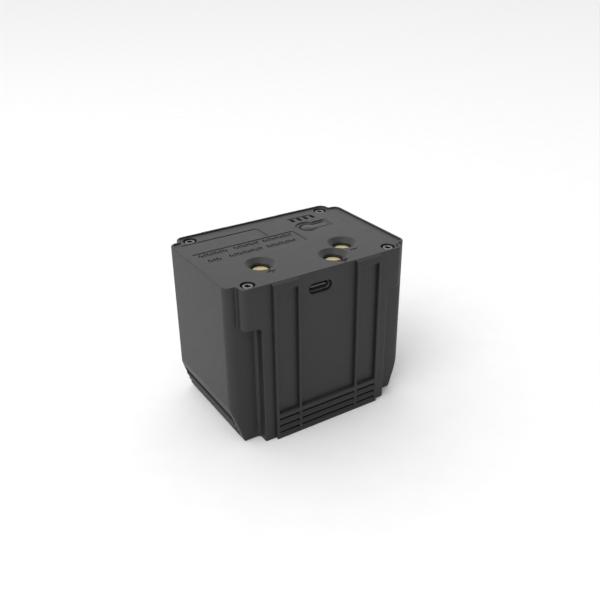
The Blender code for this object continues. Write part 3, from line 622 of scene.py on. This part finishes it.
def end_grips():
    """The stepped grips in both tapered ends: a pocket cutter and the steps that fill it."""
    top = GRIP_TOP
    low = GRIP_LOW
    pocket = [
        (taper_x(top) + 0.004, top + 0.00025),
        (taper_x(top + 0.00025), top + 0.00025),
        (taper_x(top) - 0.0002, top),
        (taper_x(top) - GRIP_DEEP, top),
        (taper_x(low) - GRIP_DEEP, low),
        (taper_x(low) - 0.0001, low),
        (taper_x(low) + 0.004, low - 0.0001),
    ]
    steps = [(taper_x(top) - GRIP_DEEP - GAP, top - 0.0001)]
    steps += [(taper_x(top) - GRIP_DEEP + 0.0001, top - 0.0001)]
    start = (taper_x(top - GRIP_BOARD) - GRIP_BOARD_DEEP, top - GRIP_BOARD)
    for x, lip in GRIP_LIPS:
        steps += [start, (x - 0.00008, lip + GRIP_RISER + 0.0001), (x, lip + GRIP_RISER)]
        steps += [(x, lip + 0.0001), (x - 0.0001, lip)]
        steps += [(taper_x(lip) - GRIP_STEP_DEEP, lip - 0.0001)]
        start = (taper_x(lip) - GRIP_STEP_DEEP, lip - 0.0005)
    steps += [(taper_x(low) - GRIP_DEEP - GAP, low + 0.0001)]
    span = (GRIP_FRONT, GRIP_BACK)
    cutter = mirrored("grip_pockets", bar_along_y("grip_pocket", pocket, *span), "X")
    filler = mirrored("grip_steps", bar_along_y("grip_step", steps, *span), "X")
    return cutter, filler


def room_cutters():
    """The rooms inside the tub, from the floor up."""
    half_slab_room = SLAB_X - WALL
    low, high = CELL_ROOM_Z
    cells = []
    for z in (low, TAPER_TOP, high):
        end = block_half_length(z) - WALL
        cells.append(flat(rounded_rectangle(end, HALF_BLOCK - WALL, 0.0008, 3), z))
    pads = rounded_rectangle(half_slab_room, HALF_SLAB - WALL, 0.0010, 3)
    return [
        loft("cell_room", cells),
        prism("pad_room", pads, *PAD_ROOM_Z),
        prism("lead_room", room_outline(LEAD_ROOM_END), *LEAD_ROOM_Z),
        prism("board_room", room_outline(PLUG_END), BOARD_ROOM_LOW, HEIGHT),
        prism("seal_step", room_outline(PLUG_END, SEAL_WIDTH), CASE_RIM - SEAL_DEPTH, HEIGHT),
    ]


def screw_bars(name, radius, low, high):
    """Round bars about the four screws' axes, in one mesh."""
    profile = [(0, high), (radius, high), (radius, low), (0, low)]
    solids = []
    for side_x in (-1, 1):
        for side_y in (-1, 1):
            at = (side_x * SCREW_X, side_y * SCREW_Y)
            solids.append(turned(f"{name}_part", profile, 32, at))
    return as_one(name, solids)


def usb_outline(grow, y):
    """The socket's flat oval in the front wall."""
    low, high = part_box("usb_shell")
    centre = ((low.x + high.x) / 2, (low.z + high.z) / 2)
    half_high = (high.z - low.z) / 2 + grow
    half_wide = (high.x - low.x) / 2 + grow
    oval = rounded_rectangle(half_wide, half_high, half_high * 0.999, 10, centre)
    return [(x, y, z) for x, z in oval]


def usb_slot():
    """The opening in the front wall, with a rounded mouth."""
    edge = 0.00035
    rings = [usb_outline(SOCKET_GAP + edge + 0.0003, -HALF_SLAB - 0.0003)]
    for rise, inset in fillet(edge, 5):
        rings.append(usb_outline(SOCKET_GAP + edge - rise, -HALF_SLAB + inset))
    rings.append(usb_outline(SOCKET_GAP, -HALF_SLAB + 0.0050))
    return loft("usb_slot", rings)


def block_shell():
    """The outer skin of the end blocks and the slab, from the foot to the seam."""
    heights = [SLAB_FOOT * step / 3 for step in range(3)]
    heights += [SLAB_FOOT + (BLOCK_FOOT - SLAB_FOOT) * step / 5 for step in range(6)]
    straight = TAPER_TOP - TAPER_BLEND
    heights += [BLOCK_FOOT + (straight - BLOCK_FOOT) * step / 12 for step in range(1, 12)]
    heights += [straight + 2 * TAPER_BLEND * step / 8 for step in range(9)]
    heights.append(TUB_TOP)
    return loft("battery_case", [flat(case_outline(z), z) for z in heights])


def boss_shell():
    """The four screw bosses, with a soft lower edge."""
    rings = []
    for rise, inset in reversed(fillet(BOSS_FOOT, 6)):
        rings.append(flat(boss_outline(inset), BOSS_BOTTOM + BOSS_FOOT - rise))
    rings.append(flat(boss_outline(0), TUB_TOP))
    return loft("bosses", rings)


def boss_webs():
    """The hollow fillets that carry the bosses' undersides into the slab."""
    centre = (SLAB_X + BOSS_FILLET, BOSS_BOTTOM - BOSS_FILLET)
    profile = arc(centre, BOSS_FILLET, 180, 90, 8)
    profile += [(centre[0], BOSS_BOTTOM + 0.0006), (SLAB_X - 0.0006, BOSS_BOTTOM + 0.0006)]
    profile += [(SLAB_X - 0.0006, centre[1])]
    webs = []
    for side in (-1, 1):
        edges = sorted((side * (HALF_BLOCK - 0.0010), side * (HALF_SLAB - 0.00004)))
        webs.append(mirrored(f"web_{side}", bar_along_y("web", profile, *edges), "X"))
    return webs


def make_tub():
    """The tub: its outer skin, then the grips, rooms and seats cut out of it."""
    tub = joined(block_shell(), boss_shell(), *boss_webs(), front_frames())
    pockets, steps = end_grips()
    tub = joined(cut(tub, pockets), steps)
    tub = cut(tub, *room_cutters())
    seats = screw_bars("cup_seats", CUP_SEAT_RADIUS, CUP_SEAT_LOW, HEIGHT)
    inserts = screw_bars("insert_seats", INSERT_SEAT_RADIUS, *INSERT_SEAT_Z)
    return cut(tub, seats, inserts, usb_slot())


# ---- Lid ----
def well_cutter(at):
    """A contact well: rounded rim, funnel, rounded waist and a straight bore."""
    edge = 0.00012
    slope = math.atan2(WELL_FUNNEL, WELL_RIM - WELL_BORE)
    waist = FIELD - WELL_FUNNEL
    soft = 0.0003
    profile = [
        (0, FIELD + 0.0004),
        (WELL_RIM + 0.0004, FIELD + 0.0004),
        (WELL_RIM + edge, FIELD),
        (WELL_RIM + 0.00003, FIELD - 0.00003),
        (WELL_RIM - edge * math.cos(slope), FIELD - edge * math.sin(slope)),
        (WELL_BORE + soft * math.cos(slope), waist + soft * math.sin(slope)),
        (WELL_BORE + soft * 0.25, waist - soft * 0.1),
        (WELL_BORE, waist - soft),
        (WELL_BORE, LID_UNDERSIDE - GAP),
        (0, LID_UNDERSIDE - GAP),
    ]
    return turned("well", profile, 72, at)


def counterbore_cutter(at):
    """A screw's counterbore with a soft rim, and its through hole."""
    radius = COUNTERBORE_RADIUS
    profile = [
        (0, FIELD + 0.0004),
        (radius + 0.0005, FIELD + 0.0004),
        (radius + 0.00012, FIELD + 0.00001),
        (radius + 0.00004, FIELD - 0.00005),
        (radius, FIELD - 0.00016),
        (radius, COUNTERBORE_SEAT),
        (SCREW_HOLE, COUNTERBORE_SEAT),
        (SCREW_HOLE, CUP_SEAT_LOW),
        (0, CUP_SEAT_LOW),
    ]
    return turned("counterbore", profile, 48, at)


def field_cutter():
    """The shallow field inside the lid's raised rim, with soft edges."""
    levels = (
        (0.00012, FIELD),
        (0.00004, FIELD + 0.00003),
        (0.0, FIELD + 0.00012),
        (0.0, HEIGHT - 0.0001),
        (-0.00003, HEIGHT - 0.00003),
        (-0.0001, HEIGHT),
        (-0.0004, HEIGHT + 0.0003),
    )
    return loft("field", [flat(lid_outline(RIM_WIDTH + inset), z) for inset, z in levels])


def keyhole_ring(grow, z, pull=0.0):
    """The keyhole recess's outline at a height, grown, with its far end pulled in."""
    return flat(keyhole(KEYHOLE_RADIUS + grow, STEM_HALF + grow, STEM_END_X + grow - pull), z)


def recess_cutters():
    """The keyhole recess, the room under the button and the slot round its tongue."""
    rings = [
        keyhole_ring(-0.0003, TONGUE_TOP, 0.0011),
        keyhole_ring(-0.0002, TONGUE_TOP + 0.00006, 0.0010),
        keyhole_ring(0.0, FIELD - 0.00008),
        keyhole_ring(0.00012, FIELD),
        keyhole_ring(0.0005, FIELD + 0.0004),
    ]
    recess = loft("keyhole_recess", rings)
    room_plan = keyhole(KEYHOLE_RADIUS - GAP, STEM_HALF - GAP, STEM_END_X - GAP)
    room = prism("button_room", room_plan, LID_UNDERSIDE - GAP, TONGUE_BOTTOM)
    slot_end = BUTTON_ROOT_X + 0.0001
    slot_plan = keyhole(BUTTON_RADIUS + SLOT_WIDTH, ARM_HALF + SLOT_WIDTH, slot_end, 0.0003)
    return [recess, room, prism("button_slot", slot_plan, LID_UNDERSIDE, HEIGHT)]


def light_outline(index, grow):
    """The upright round-ended window of one light."""
    half_x = LIGHT_HALF_X + grow
    centre = (LIGHT_X + index * LIGHT_PITCH, LIGHT_Y)
    return rounded_rectangle(half_x, LIGHT_HALF_Y + grow, half_x * 0.999, 8, centre)


def light_cutters():
    """The four windows over the lights, each with a soft edge."""
    cutters = []
    for index in range(LIGHT_COUNT):
        rings = [
            flat(light_outline(index, 0), LID_UNDERSIDE - GAP),
            flat(light_outline(index, 0), FIELD - 0.0001),
            flat(light_outline(index, 0.0001), FIELD),
            flat(light_outline(index, 0.0004), FIELD + 0.0003),
        ]
        cutters.append(loft("light_window", rings))
    return cutters


def engraved_line(name, start_x, y, corner_x, end_y):
    """A round-bottomed groove that runs along X, then turns a corner towards the front."""
    z = FIELD + LINE_RADIUS - 0.0004
    turn = 0.0008
    bend = arc((corner_x - turn, y - turn), turn, 90, 0, 6)
    plan = [(start_x, y), *bend, (corner_x, end_y)]
    return tube(name, flat(plan, z), LINE_RADIUS, 14)


def tick_row(name, groups, low_y):
    """Groups of short slanting grooves, a plain stand-in for a printed line."""
    lean = TICK_LEAN * TICK_HIGH
    ticks = []
    for start, stop in groups:
        count = int((stop - start - lean) / TICK_PITCH) + 1
        for index in range(count):
            x = start + index * TICK_PITCH
            share = SHORT_TICK if index % 3 == 1 else 1.0
            top = (x + lean * share, low_y + TICK_HIGH * share, FIELD)
            points = [(x, low_y, FIELD), top]
            ticks.append(tube("tick", points, MARK_RADIUS, 8))
    return as_one(name, ticks)


def stroke(x0, y0, x1, y1):
    """One straight engraved stroke."""
    return tube("stroke", [(x0, y0, FIELD), (x1, y1, FIELD)], MARK_RADIUS, 8)


def well_marks():
    """A plus, a minus and an earth sign beside the wells."""
    x, y = WELLS["positive_contact"]
    plus_y = y - 0.0077
    upright = stroke(x, plus_y - 0.0015, x, plus_y + 0.0015)
    marks = [joined(stroke(x - 0.0018, plus_y, x + 0.0018, plus_y), upright)]
    x, y = WELLS["negative_contact"]
    marks.append(stroke(x - 0.0016, y - MARK_DROP, x + 0.0016, y - MARK_DROP))
    x, y = WELLS["ground_contact"]
    for index in range(3):
        half = 0.0022 - 0.0008 * index
        line_y = y - 0.0060 - 0.0009 * index
        marks.append(stroke(x - half, line_y, x + half, line_y))
    return as_one("well_marks", marks)


def lid_blank():
    """The lid before anything is cut: a flange, the plug inside the case and the screw cups."""
    rings = [flat(lid_outline(0), LID_SEAT)]
    for rise, inset in fillet(LID_EDGE, 6):
        rings.append(flat(lid_outline(inset), HEIGHT - LID_EDGE + rise))
    plug = prism("plug", room_outline(PLUG_END, -GAP), LID_UNDERSIDE, LID_SEAT + GAP)
    cups = screw_bars("cups", CUP_RADIUS, CUP_LOW, LID_SEAT + GAP)
    return joined(loft("battery_lid", rings), plug, cups)


def make_lid():
    """The lid with its field, wells, screw seats, keyhole, windows and engraving."""
    lid = cut(lid_blank(), field_cutter())
    cutters = [well_cutter(at) for at in WELLS.values()]
    for side_x in (-1, 1):
        for side_y in (-1, 1):
            cutters.append(counterbore_cutter((side_x * SCREW_X, side_y * SCREW_Y)))
    lid = cut(lid, *cutters, *recess_cutters(), *light_cutters())
    upper_groups = ((-0.0330, -0.0209), (-0.0189, -0.0087), (-0.0066, 0.0066))
    lower_groups = ((-0.0318, -0.0260), (-0.0234, -0.0097), (-0.0079, 0.0049))
    engraving = [
        engraved_line("upper_line", LINES_X, UPPER_LINE_Y, -0.00245, 0.0108),
        engraved_line("lower_line", LINES_X, LOWER_LINE_Y, 0.00795, -0.0007),
        tick_row("upper_ticks", upper_groups, 0.0057),
        tick_row("lower_ticks", lower_groups, 0.0003),
        tube("light_line", [(0.0124, 0.0208, FIELD), (0.0229, 0.0208, FIELD)], MARK_RADIUS, 8),
        well_marks(),
    ]
    return cut(lid, *engraving)


# ---- Small pieces ----
def node_centre(node):
    """The middle of a CAD node, in plan."""
    low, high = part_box(node)
    return ((low.x + high.x) / 2, (low.y + high.y) / 2)


def make_button():
    """The tongue with its rounded edges, dome and post."""
    root_x = BUTTON_ROOT_X + 0.0001
    plan = keyhole(BUTTON_RADIUS, ARM_HALF, root_x, 0.00005)
    edge = 0.00012
    rings = [flat(plan, TONGUE_BOTTOM), flat(plan, TONGUE_TOP - edge)]
    for rise, inset in fillet(edge, 3)[1:]:
        shrunk = keyhole(BUTTON_RADIUS - inset, ARM_HALF - inset, root_x, 0.00005)
        rings.append(flat(shrunk, TONGUE_TOP - edge + rise))
    tongue = loft("charge_button", rings)
    radius = BUTTON_RADIUS - 0.00022
    profile = []
    for index in range(13):
        angle = math.radians(90 * index / 12)
        profile.append((radius * math.sin(angle), TONGUE_TOP + DOME_RISE * math.cos(angle)))
    middle = TONGUE_TOP - TONGUE_THICK / 2
    dome = turned("dome", profile + [(radius, middle), (0, middle)], 64, (BUTTON_X, BUTTON_Y))
    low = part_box("check_button")[0].z
    post = [
        (0, middle),
        (POST_RADIUS, middle),
        (POST_RADIUS, low + 0.0001),
        (POST_RADIUS - 0.0001, low),
        (0, low),
    ]
    return joined(tongue, dome, turned("post", post, 24, (BUTTON_X, BUTTON_Y)))


def make_contact(name, look):
    """A turned contact: a faintly dished face, a collar and a stem."""
    low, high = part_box(name)
    collar_top = LID_UNDERSIDE - GAP
    collar_low = collar_top - COLLAR_THICK
    face = CONTACT_FACE
    profile = [
        (0, high.z - 0.00006),
        (0.0011, high.z - 0.00006),
        (0.0014, high.z - 0.00002),
        (face - 0.00025, high.z),
        (face - 0.00008, high.z - 0.00003),
        (face, high.z - 0.00012),
        (face, collar_top),
        (COLLAR_RADIUS - 0.0001, collar_top),
        (COLLAR_RADIUS, collar_top - 0.0001),
        (COLLAR_RADIUS, collar_low + 0.0001),
        (COLLAR_RADIUS - 0.0001, collar_low),
        (STEM_RADIUS, collar_low),
        (STEM_RADIUS, low.z + 0.0001),
        (STEM_RADIUS - 0.0001, low.z),
        (0, low.z),
    ]
    contact = turned(name + "_turned", profile, 72, node_centre(name))
    return finished(contact, "case", [name], look)


def screw_body(name, radius, at, low_z, high_z):
    """A cap screw's head and threaded shank."""
    head_low = high_z - SCREW_HEAD
    profile = [
        (0, high_z),
        (radius - 0.00028, high_z),
        (radius - 0.0001, high_z - 0.00006),
        (radius, high_z - 0.00022),
        (radius, head_low + 0.0001),
        (radius - 0.0001, head_low),
        (0.00105, head_low),
    ]
    z = head_low - 0.0004
    while z > low_z + 0.0005:
        profile += [(0.00098, z), (0.00082, z - SCREW_PITCH / 2)]
        z -= SCREW_PITCH
    profile += [(0.0007, low_z), (0, low_z)]
    return turned(name, profile, 48, at)


def hexagon_cutter(at, top):
    """A screw's chamfered hexagon."""
    size = SCREW_KEY / math.sqrt(3)
    rings = []
    for grow, rise in ((-0.00002, -0.0018), (0, -0.00014), (0.00014, 0.00001), (0.0004, 0.0003)):
        rings.append(flat(shifted(circle((0, 0), size + grow, 6), at), top + rise))
    return loft("hexagon", rings)


def flute_cutters(radius, at, low_z, high_z):
    """The fine grooves round a screw's head."""
    profile = [(0, high_z), (0.00009, high_z), (0.00009, low_z), (0, low_z)]
    reach = radius + 0.00003
    flutes = []
    for index in range(SCREW_FLUTES):
        angle = 2 * math.pi * index / SCREW_FLUTES
        place = (at[0] + reach * math.cos(angle), at[1] + reach * math.sin(angle))
        flutes.append(turned("flute", profile, 6, place))
    return as_one("flutes", flutes)


def make_screw(name, look):
    """A socket cap screw: knurled head, chamfered hexagon and a threaded shank."""
    low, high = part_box(name)
    at = node_centre(name)
    radius = (high.x - low.x) / 2
    screw = screw_body(name + "_detail", radius, at, low.z, high.z)
    screw = cut(screw, hexagon_cutter(at, high.z))
    flute_low = high.z - SCREW_HEAD + 0.0002
    screw = cut(screw, flute_cutters(radius, at, flute_low, high.z - 0.0004))
    return finished(screw, "case", [name], look)


def make_usb_shell(look):
    """The receptacle's drawn shell, with a flared lip."""
    low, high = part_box("usb_shell")
    sheet = SOCKET_SHEET
    front = low.y
    back = high.y
    outside = (
        (front, -0.00010),
        (front + 0.00008, -0.00003),
        (front + 0.0002, 0),
        (back - 0.0003, 0),
        (back, -0.0003),
    )
    inside = (
        (front - 0.0002, -sheet + 0.0003),
        (front, -sheet + 0.00012),
        (front + 0.00022, -sheet),
        (back - 0.0006, -sheet),
    )
    shell = loft("usb_receptacle", [usb_outline(grow, y) for y, grow in outside])
    shell = cut(shell, loft("mouth", [usb_outline(grow, y) for y, grow in inside]))
    finished(shell, "case", ["usb_shell"], look)


def make_usb_tongue(plastic, gold):
    """The receptacle's tongue on its wide base, with a row of contact pads on each side."""
    low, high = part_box("usb_tongue")
    middle_x = (low.x + high.x) / 2
    middle_z = (low.z + high.z) / 2
    half = TONGUE_HALF
    soft = 0.0003
    base_y = high.y - TONGUE_BASE
    plan = [
        (middle_x - half + soft, low.y),
        (middle_x + half - soft, low.y),
        (middle_x + half, low.y + soft),
        (middle_x + half, base_y),
        (high.x, base_y),
        (high.x, high.y),
        (low.x, high.y),
        (low.x, base_y),
        (middle_x - half, base_y),
        (middle_x - half, low.y + soft),
    ]
    tongue = soft_plate("usb_tongue_moulding", plan, low.z, high.z, 0.00006)
    finished(tongue, "case", ["usb_tongue"], plastic)
    pads = []
    for side in (-1, 1):
        z = middle_z + side * (high.z - low.z) / 2
        for index in range(PADS_IN_ROW):
            x = middle_x + (index - (PADS_IN_ROW - 1) / 2) * PAD_PITCH
            corners = [
                (x - PAD_HALF, low.y + 0.0006),
                (x + PAD_HALF, low.y + 0.0006),
                (x + PAD_HALF, base_y - 0.0002),
                (x - PAD_HALF, base_y - 0.0002),
            ]
            pads.append(prism("pad", corners, z - 0.00002, z + 0.00002))
    finished(as_one("usb_contact_pads", pads), "case", [], gold)


def make_guide(look):
    """The light guide: a bar under the lid with four round-ended pads."""
    low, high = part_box("light_guide")
    bar_top = LID_UNDERSIDE - GAP
    half_x = (high.x - low.x) / 2
    half_y = (high.y - low.y) / 2
    plan = rounded_rectangle(half_x, half_y, 0.0004, 4, node_centre("light_guide"))
    bar = soft_plate("charge_windows", plan, bar_top - 0.0010, bar_top, 0.0001)
    edge = 0.00012
    top = high.z - 0.0009
    pads = []
    for index in range(LIGHT_COUNT):
        rings = [flat(light_outline(index, -0.00005), low.z)]
        for rise, inset in fillet(edge, 3):
            rings.append(flat(light_outline(index, -0.00005 - inset), top - edge + rise))
        pads.append(loft("pad", rings))
    return finished(joined(bar, *pads), "case", ["light_guide"], look)


# ---- Materials ----
def shader(name, colour, roughness, metallic=0.0):
    """A new material and its main shader."""
    made = bpy.data.materials.new(name)
    made.use_nodes = True
    main = made.node_tree.nodes["Principled BSDF"]
    main.inputs["Base Color"].default_value = (*colour, 1)
    main.inputs["Roughness"].default_value = roughness
    main.inputs["Metallic"].default_value = metallic
    return made, main


def noise(tree, scale, detail=3.0, rough=0.55):
    """A noise over the piece's own coordinates, which are metres."""
    place = tree.nodes.new("ShaderNodeTexCoord")
    texture = tree.nodes.new("ShaderNodeTexNoise")
    texture.inputs["Scale"].default_value = scale
    texture.inputs["Detail"].default_value = detail
    texture.inputs["Roughness"].default_value = rough
    tree.links.new(place.outputs["Object"], texture.inputs["Vector"])
    return texture.outputs["Fac"]


def vary_colour(tree, main, factor, dark, light):
    """Let the base colour wander between two tones."""
    ramp = tree.nodes.new("ShaderNodeValToRGB")
    ramp.color_ramp.elements[0].position = 0.3
    ramp.color_ramp.elements[1].position = 0.7
    ramp.color_ramp.elements[0].color = (*dark, 1)
    ramp.color_ramp.elements[1].color = (*light, 1)
    tree.links.new(factor, ramp.inputs["Fac"])
    tree.links.new(ramp.outputs["Color"], main.inputs["Base Color"])


def vary_roughness(tree, main, factor, low, high):
    """Let the roughness wander between two values."""
    spread = tree.nodes.new("ShaderNodeMapRange")
    spread.inputs["To Min"].default_value = low
    spread.inputs["To Max"].default_value = high
    tree.links.new(factor, spread.inputs["Value"])
    tree.links.new(spread.outputs["Result"], main.inputs["Roughness"])


def bump(tree, main, height, strength, distance):
    """Raise the surface by a height, in metres."""
    node = tree.nodes.new("ShaderNodeBump")
    node.inputs["Strength"].default_value = strength
    node.inputs["Distance"].default_value = distance
    tree.links.new(height, node.inputs["Height"])
    tree.links.new(node.outputs["Normal"], main.inputs["Normal"])


def detailed(name, colour, roughness, metallic=0.0, spread=0.12, grain=3000, depth=0.00001):
    """A material whose tone, gloss and fine relief all vary a little over the surface."""
    made, main = shader(name, colour, roughness, metallic)
    tree = made.node_tree
    dark = [channel * (1 - spread) for channel in colour]
    light = [min(channel * (1 + spread), 1.0) for channel in colour]
    vary_colour(tree, main, noise(tree, 90, 4), dark, light)
    vary_roughness(tree, main, noise(tree, 160, 2), roughness - 0.06, min(roughness + 0.06, 1))
    bump(tree, main, noise(tree, grain, 2), 0.5, depth)
    return made


def moulded(name, colour, roughness):
    """Spark-textured moulded plastic."""
    made, main = shader(name, colour, roughness)
    tree = made.node_tree
    dark = [channel * 0.93 for channel in colour]
    light = [channel * 1.07 for channel in colour]
    vary_colour(tree, main, noise(tree, 70, 5, 0.6), dark, light)
    vary_roughness(tree, main, noise(tree, 420, 3), roughness - 0.05, roughness + 0.05)
    bump(tree, main, noise(tree, 2600, 4, 0.65), 0.35, 0.00003)
    return made


def turned_metal(name, colour, roughness, metallic=1.0):
    """Lathe-turned metal with fine rings about each piece's own axis."""
    made, main = shader(name, colour, roughness, metallic)
    tree = made.node_tree
    place = tree.nodes.new("ShaderNodeTexCoord")
    wave = tree.nodes.new("ShaderNodeTexWave")
    wave.wave_type = "RINGS"
    wave.rings_direction = "Z"
    wave.inputs["Scale"].default_value = 9000
    wave.inputs["Distortion"].default_value = 0.6
    tree.links.new(place.outputs["Object"], wave.inputs["Vector"])
    vary_roughness(tree, main, noise(tree, 900, 3), roughness - 0.05, roughness + 0.08)
    bump(tree, main, wave.outputs["Fac"], 0.25, 0.000004)
    dark = [channel * 0.9 for channel in colour]
    vary_colour(tree, main, noise(tree, 500, 2), dark, colour)
    return made


# ---- Studio ----
def area_light(name, place, aim, size, power):
    """A soft square light."""
    data = bpy.data.lights.new(name, "AREA")
    data.size = size
    data.energy = power
    lamp = add(name, data)
    lamp.location = place
    lamp.rotation_euler = (Vector(aim) - Vector(place)).to_track_quat("-Z", "Y").to_euler()


def make_world():
    """Even studio light, dimmer from the front and the right."""
    world = bpy.data.worlds.new("studio")
    bpy.context.scene.world = world
    world.use_nodes = True
    tree = world.node_tree
    back = tree.nodes["Background"]
    place = tree.nodes.new("ShaderNodeTexCoord")
    along = tree.nodes.new("ShaderNodeVectorMath")
    along.operation = "DOT_PRODUCT"
    along.inputs[1].default_value = WORLD_AXIS
    ramp = tree.nodes.new("ShaderNodeMapRange")
    ramp.inputs["From Min"].default_value = -1.0
    ramp.inputs["From Max"].default_value = 0.6
    ramp.inputs["To Min"].default_value = WORLD_FRONT
    ramp.inputs["To Max"].default_value = WORLD_BACK
    tree.links.new(place.outputs["Generated"], along.inputs[0])
    tree.links.new(along.outputs["Value"], ramp.inputs["Value"])
    tree.links.new(ramp.outputs["Result"], back.inputs["Strength"])
    back.inputs["Color"].default_value = (1, 1, 1, 1)


def make_floor():
    """A plain pale floor."""
    pale = (0.84, 0.84, 0.84)
    paper = detailed("floor_paper", pale, 0.9, spread=0.01, grain=900, depth=0.00002)
    plan = rounded_rectangle(3.0, 3.0, 0.5, 8)
    floor = loft("floor", [flat(plan, z) for z in (-0.0210, -0.0010)])
    floor.location.z = 0.0010
    floor.data.materials.append(paper)


def make_camera():
    """The camera, aimed a little above the middle of the case."""
    azimuth = math.radians(CAMERA_AZIMUTH)
    elevation = math.radians(CAMERA_ELEVATION)
    roll = math.radians(CAMERA_ROLL)
    level = math.cos(elevation)
    back = Vector((math.sin(azimuth) * level, -math.cos(azimuth) * level, math.sin(elevation)))
    data = bpy.data.cameras.new("camera")
    data.lens = CAMERA_LENS
    data.sensor_width = 36
    data.clip_start = 0.01
    data.clip_end = 20
    camera = add("camera", data)
    turn = (-back).to_track_quat("-Z", "Y").to_matrix() @ Matrix.Rotation(roll, 3, "Z")
    place = Vector(CAMERA_AIM) + back * CAMERA_DISTANCE
    camera.matrix_world = Matrix.Translation(place) @ turn.to_4x4()
    bpy.context.scene.camera = camera


# ---- Assembly ----
WELL_NODES = ("positive_contact", "ground_contact", "negative_contact")
WELLS = {name: node_centre(name) for name in WELL_NODES}

make_camera()
make_world()
make_floor()
area_light("key", (-0.9, -0.35, 1.1), (0, 0, 0.03), 0.9, 9.0)

case_look = moulded("case_plastic", (0.012, 0.0122, 0.0121), 0.52)
button_look = moulded("button_plastic", (0.013, 0.0132, 0.0131), 0.47)
brass = turned_metal("contact_brass", (0.62, 0.49, 0.265), 0.42, 0.5)
steel = turned_metal("screw_steel", (0.16, 0.16, 0.16), 0.34)
socket_steel = detailed("socket_steel", (0.16, 0.16, 0.15), 0.5, 0.6)
socket_black = moulded("socket_plastic", (0.09, 0.09, 0.086), 0.55)
gold = detailed("contact_gold", (0.40, 0.31, 0.17), 0.45, 1.0)
smoked = detailed("smoked_guide", (0.010, 0.010, 0.011), 0.5, 0.0, 0.05)

finished(make_tub(), "case", ["case_body"], case_look)
finished(make_lid(), "case", ["lid"], case_look)
finished(make_button(), "button", ["check_button"], button_look)
for contact in WELLS:
    make_contact(contact, brass)
for side in ("front", "back"):
    for end in ("left", "right"):
        make_screw(f"lid_screw_{side}_{end}", steel)
make_usb_shell(socket_steel)
make_usb_tongue(socket_black, gold)
make_guide(smoked)

inner_looks = {
    "seal_rubber": detailed("seal_rubber", (0.02, 0.02, 0.02), 0.75),
    "cell_sleeve": detailed("cell_sleeve", (0.04, 0.16, 0.36), 0.38),
    "holder_plastic": moulded("holder_plastic", (0.05, 0.05, 0.05), 0.60),
    "nickel": detailed("nickel", (0.66, 0.64, 0.60), 0.30, 1.0),
    "lead_red": detailed("lead_red", (0.45, 0.03, 0.03), 0.5),
    "lead_black": detailed("lead_black", (0.02, 0.02, 0.02), 0.5),
    "lead_yellow": detailed("lead_yellow", (0.60, 0.45, 0.04), 0.5),
    "foam": detailed("foam", (0.06, 0.06, 0.065), 0.95, grain=1500, depth=0.0001),
    "insulation": detailed("insulation", (0.32, 0.42, 0.36), 0.75),
    "board_green": detailed("board_green", (0.02, 0.12, 0.06), 0.40),
    "chip_plastic": moulded("chip_plastic", (0.02, 0.02, 0.022), 0.5),
    "lamp": detailed("lamp", (0.85, 0.85, 0.80), 0.4),
    "ferrite": detailed("ferrite", (0.09, 0.09, 0.09), 0.6),
    "contact_brass": brass,
    "button_plastic": button_look,
}
slots = {entry["node"]: entry["material_slot"] for entry in frame["record"]["subparts"]}
for node, obj in frame["nodes"].items():
    look = inner_looks.get(slots.get(node))
    if look is not None:
        obj.data.materials.clear()
        obj.data.materials.append(look)

bpy.context.scene.view_settings.view_transform = "Standard"
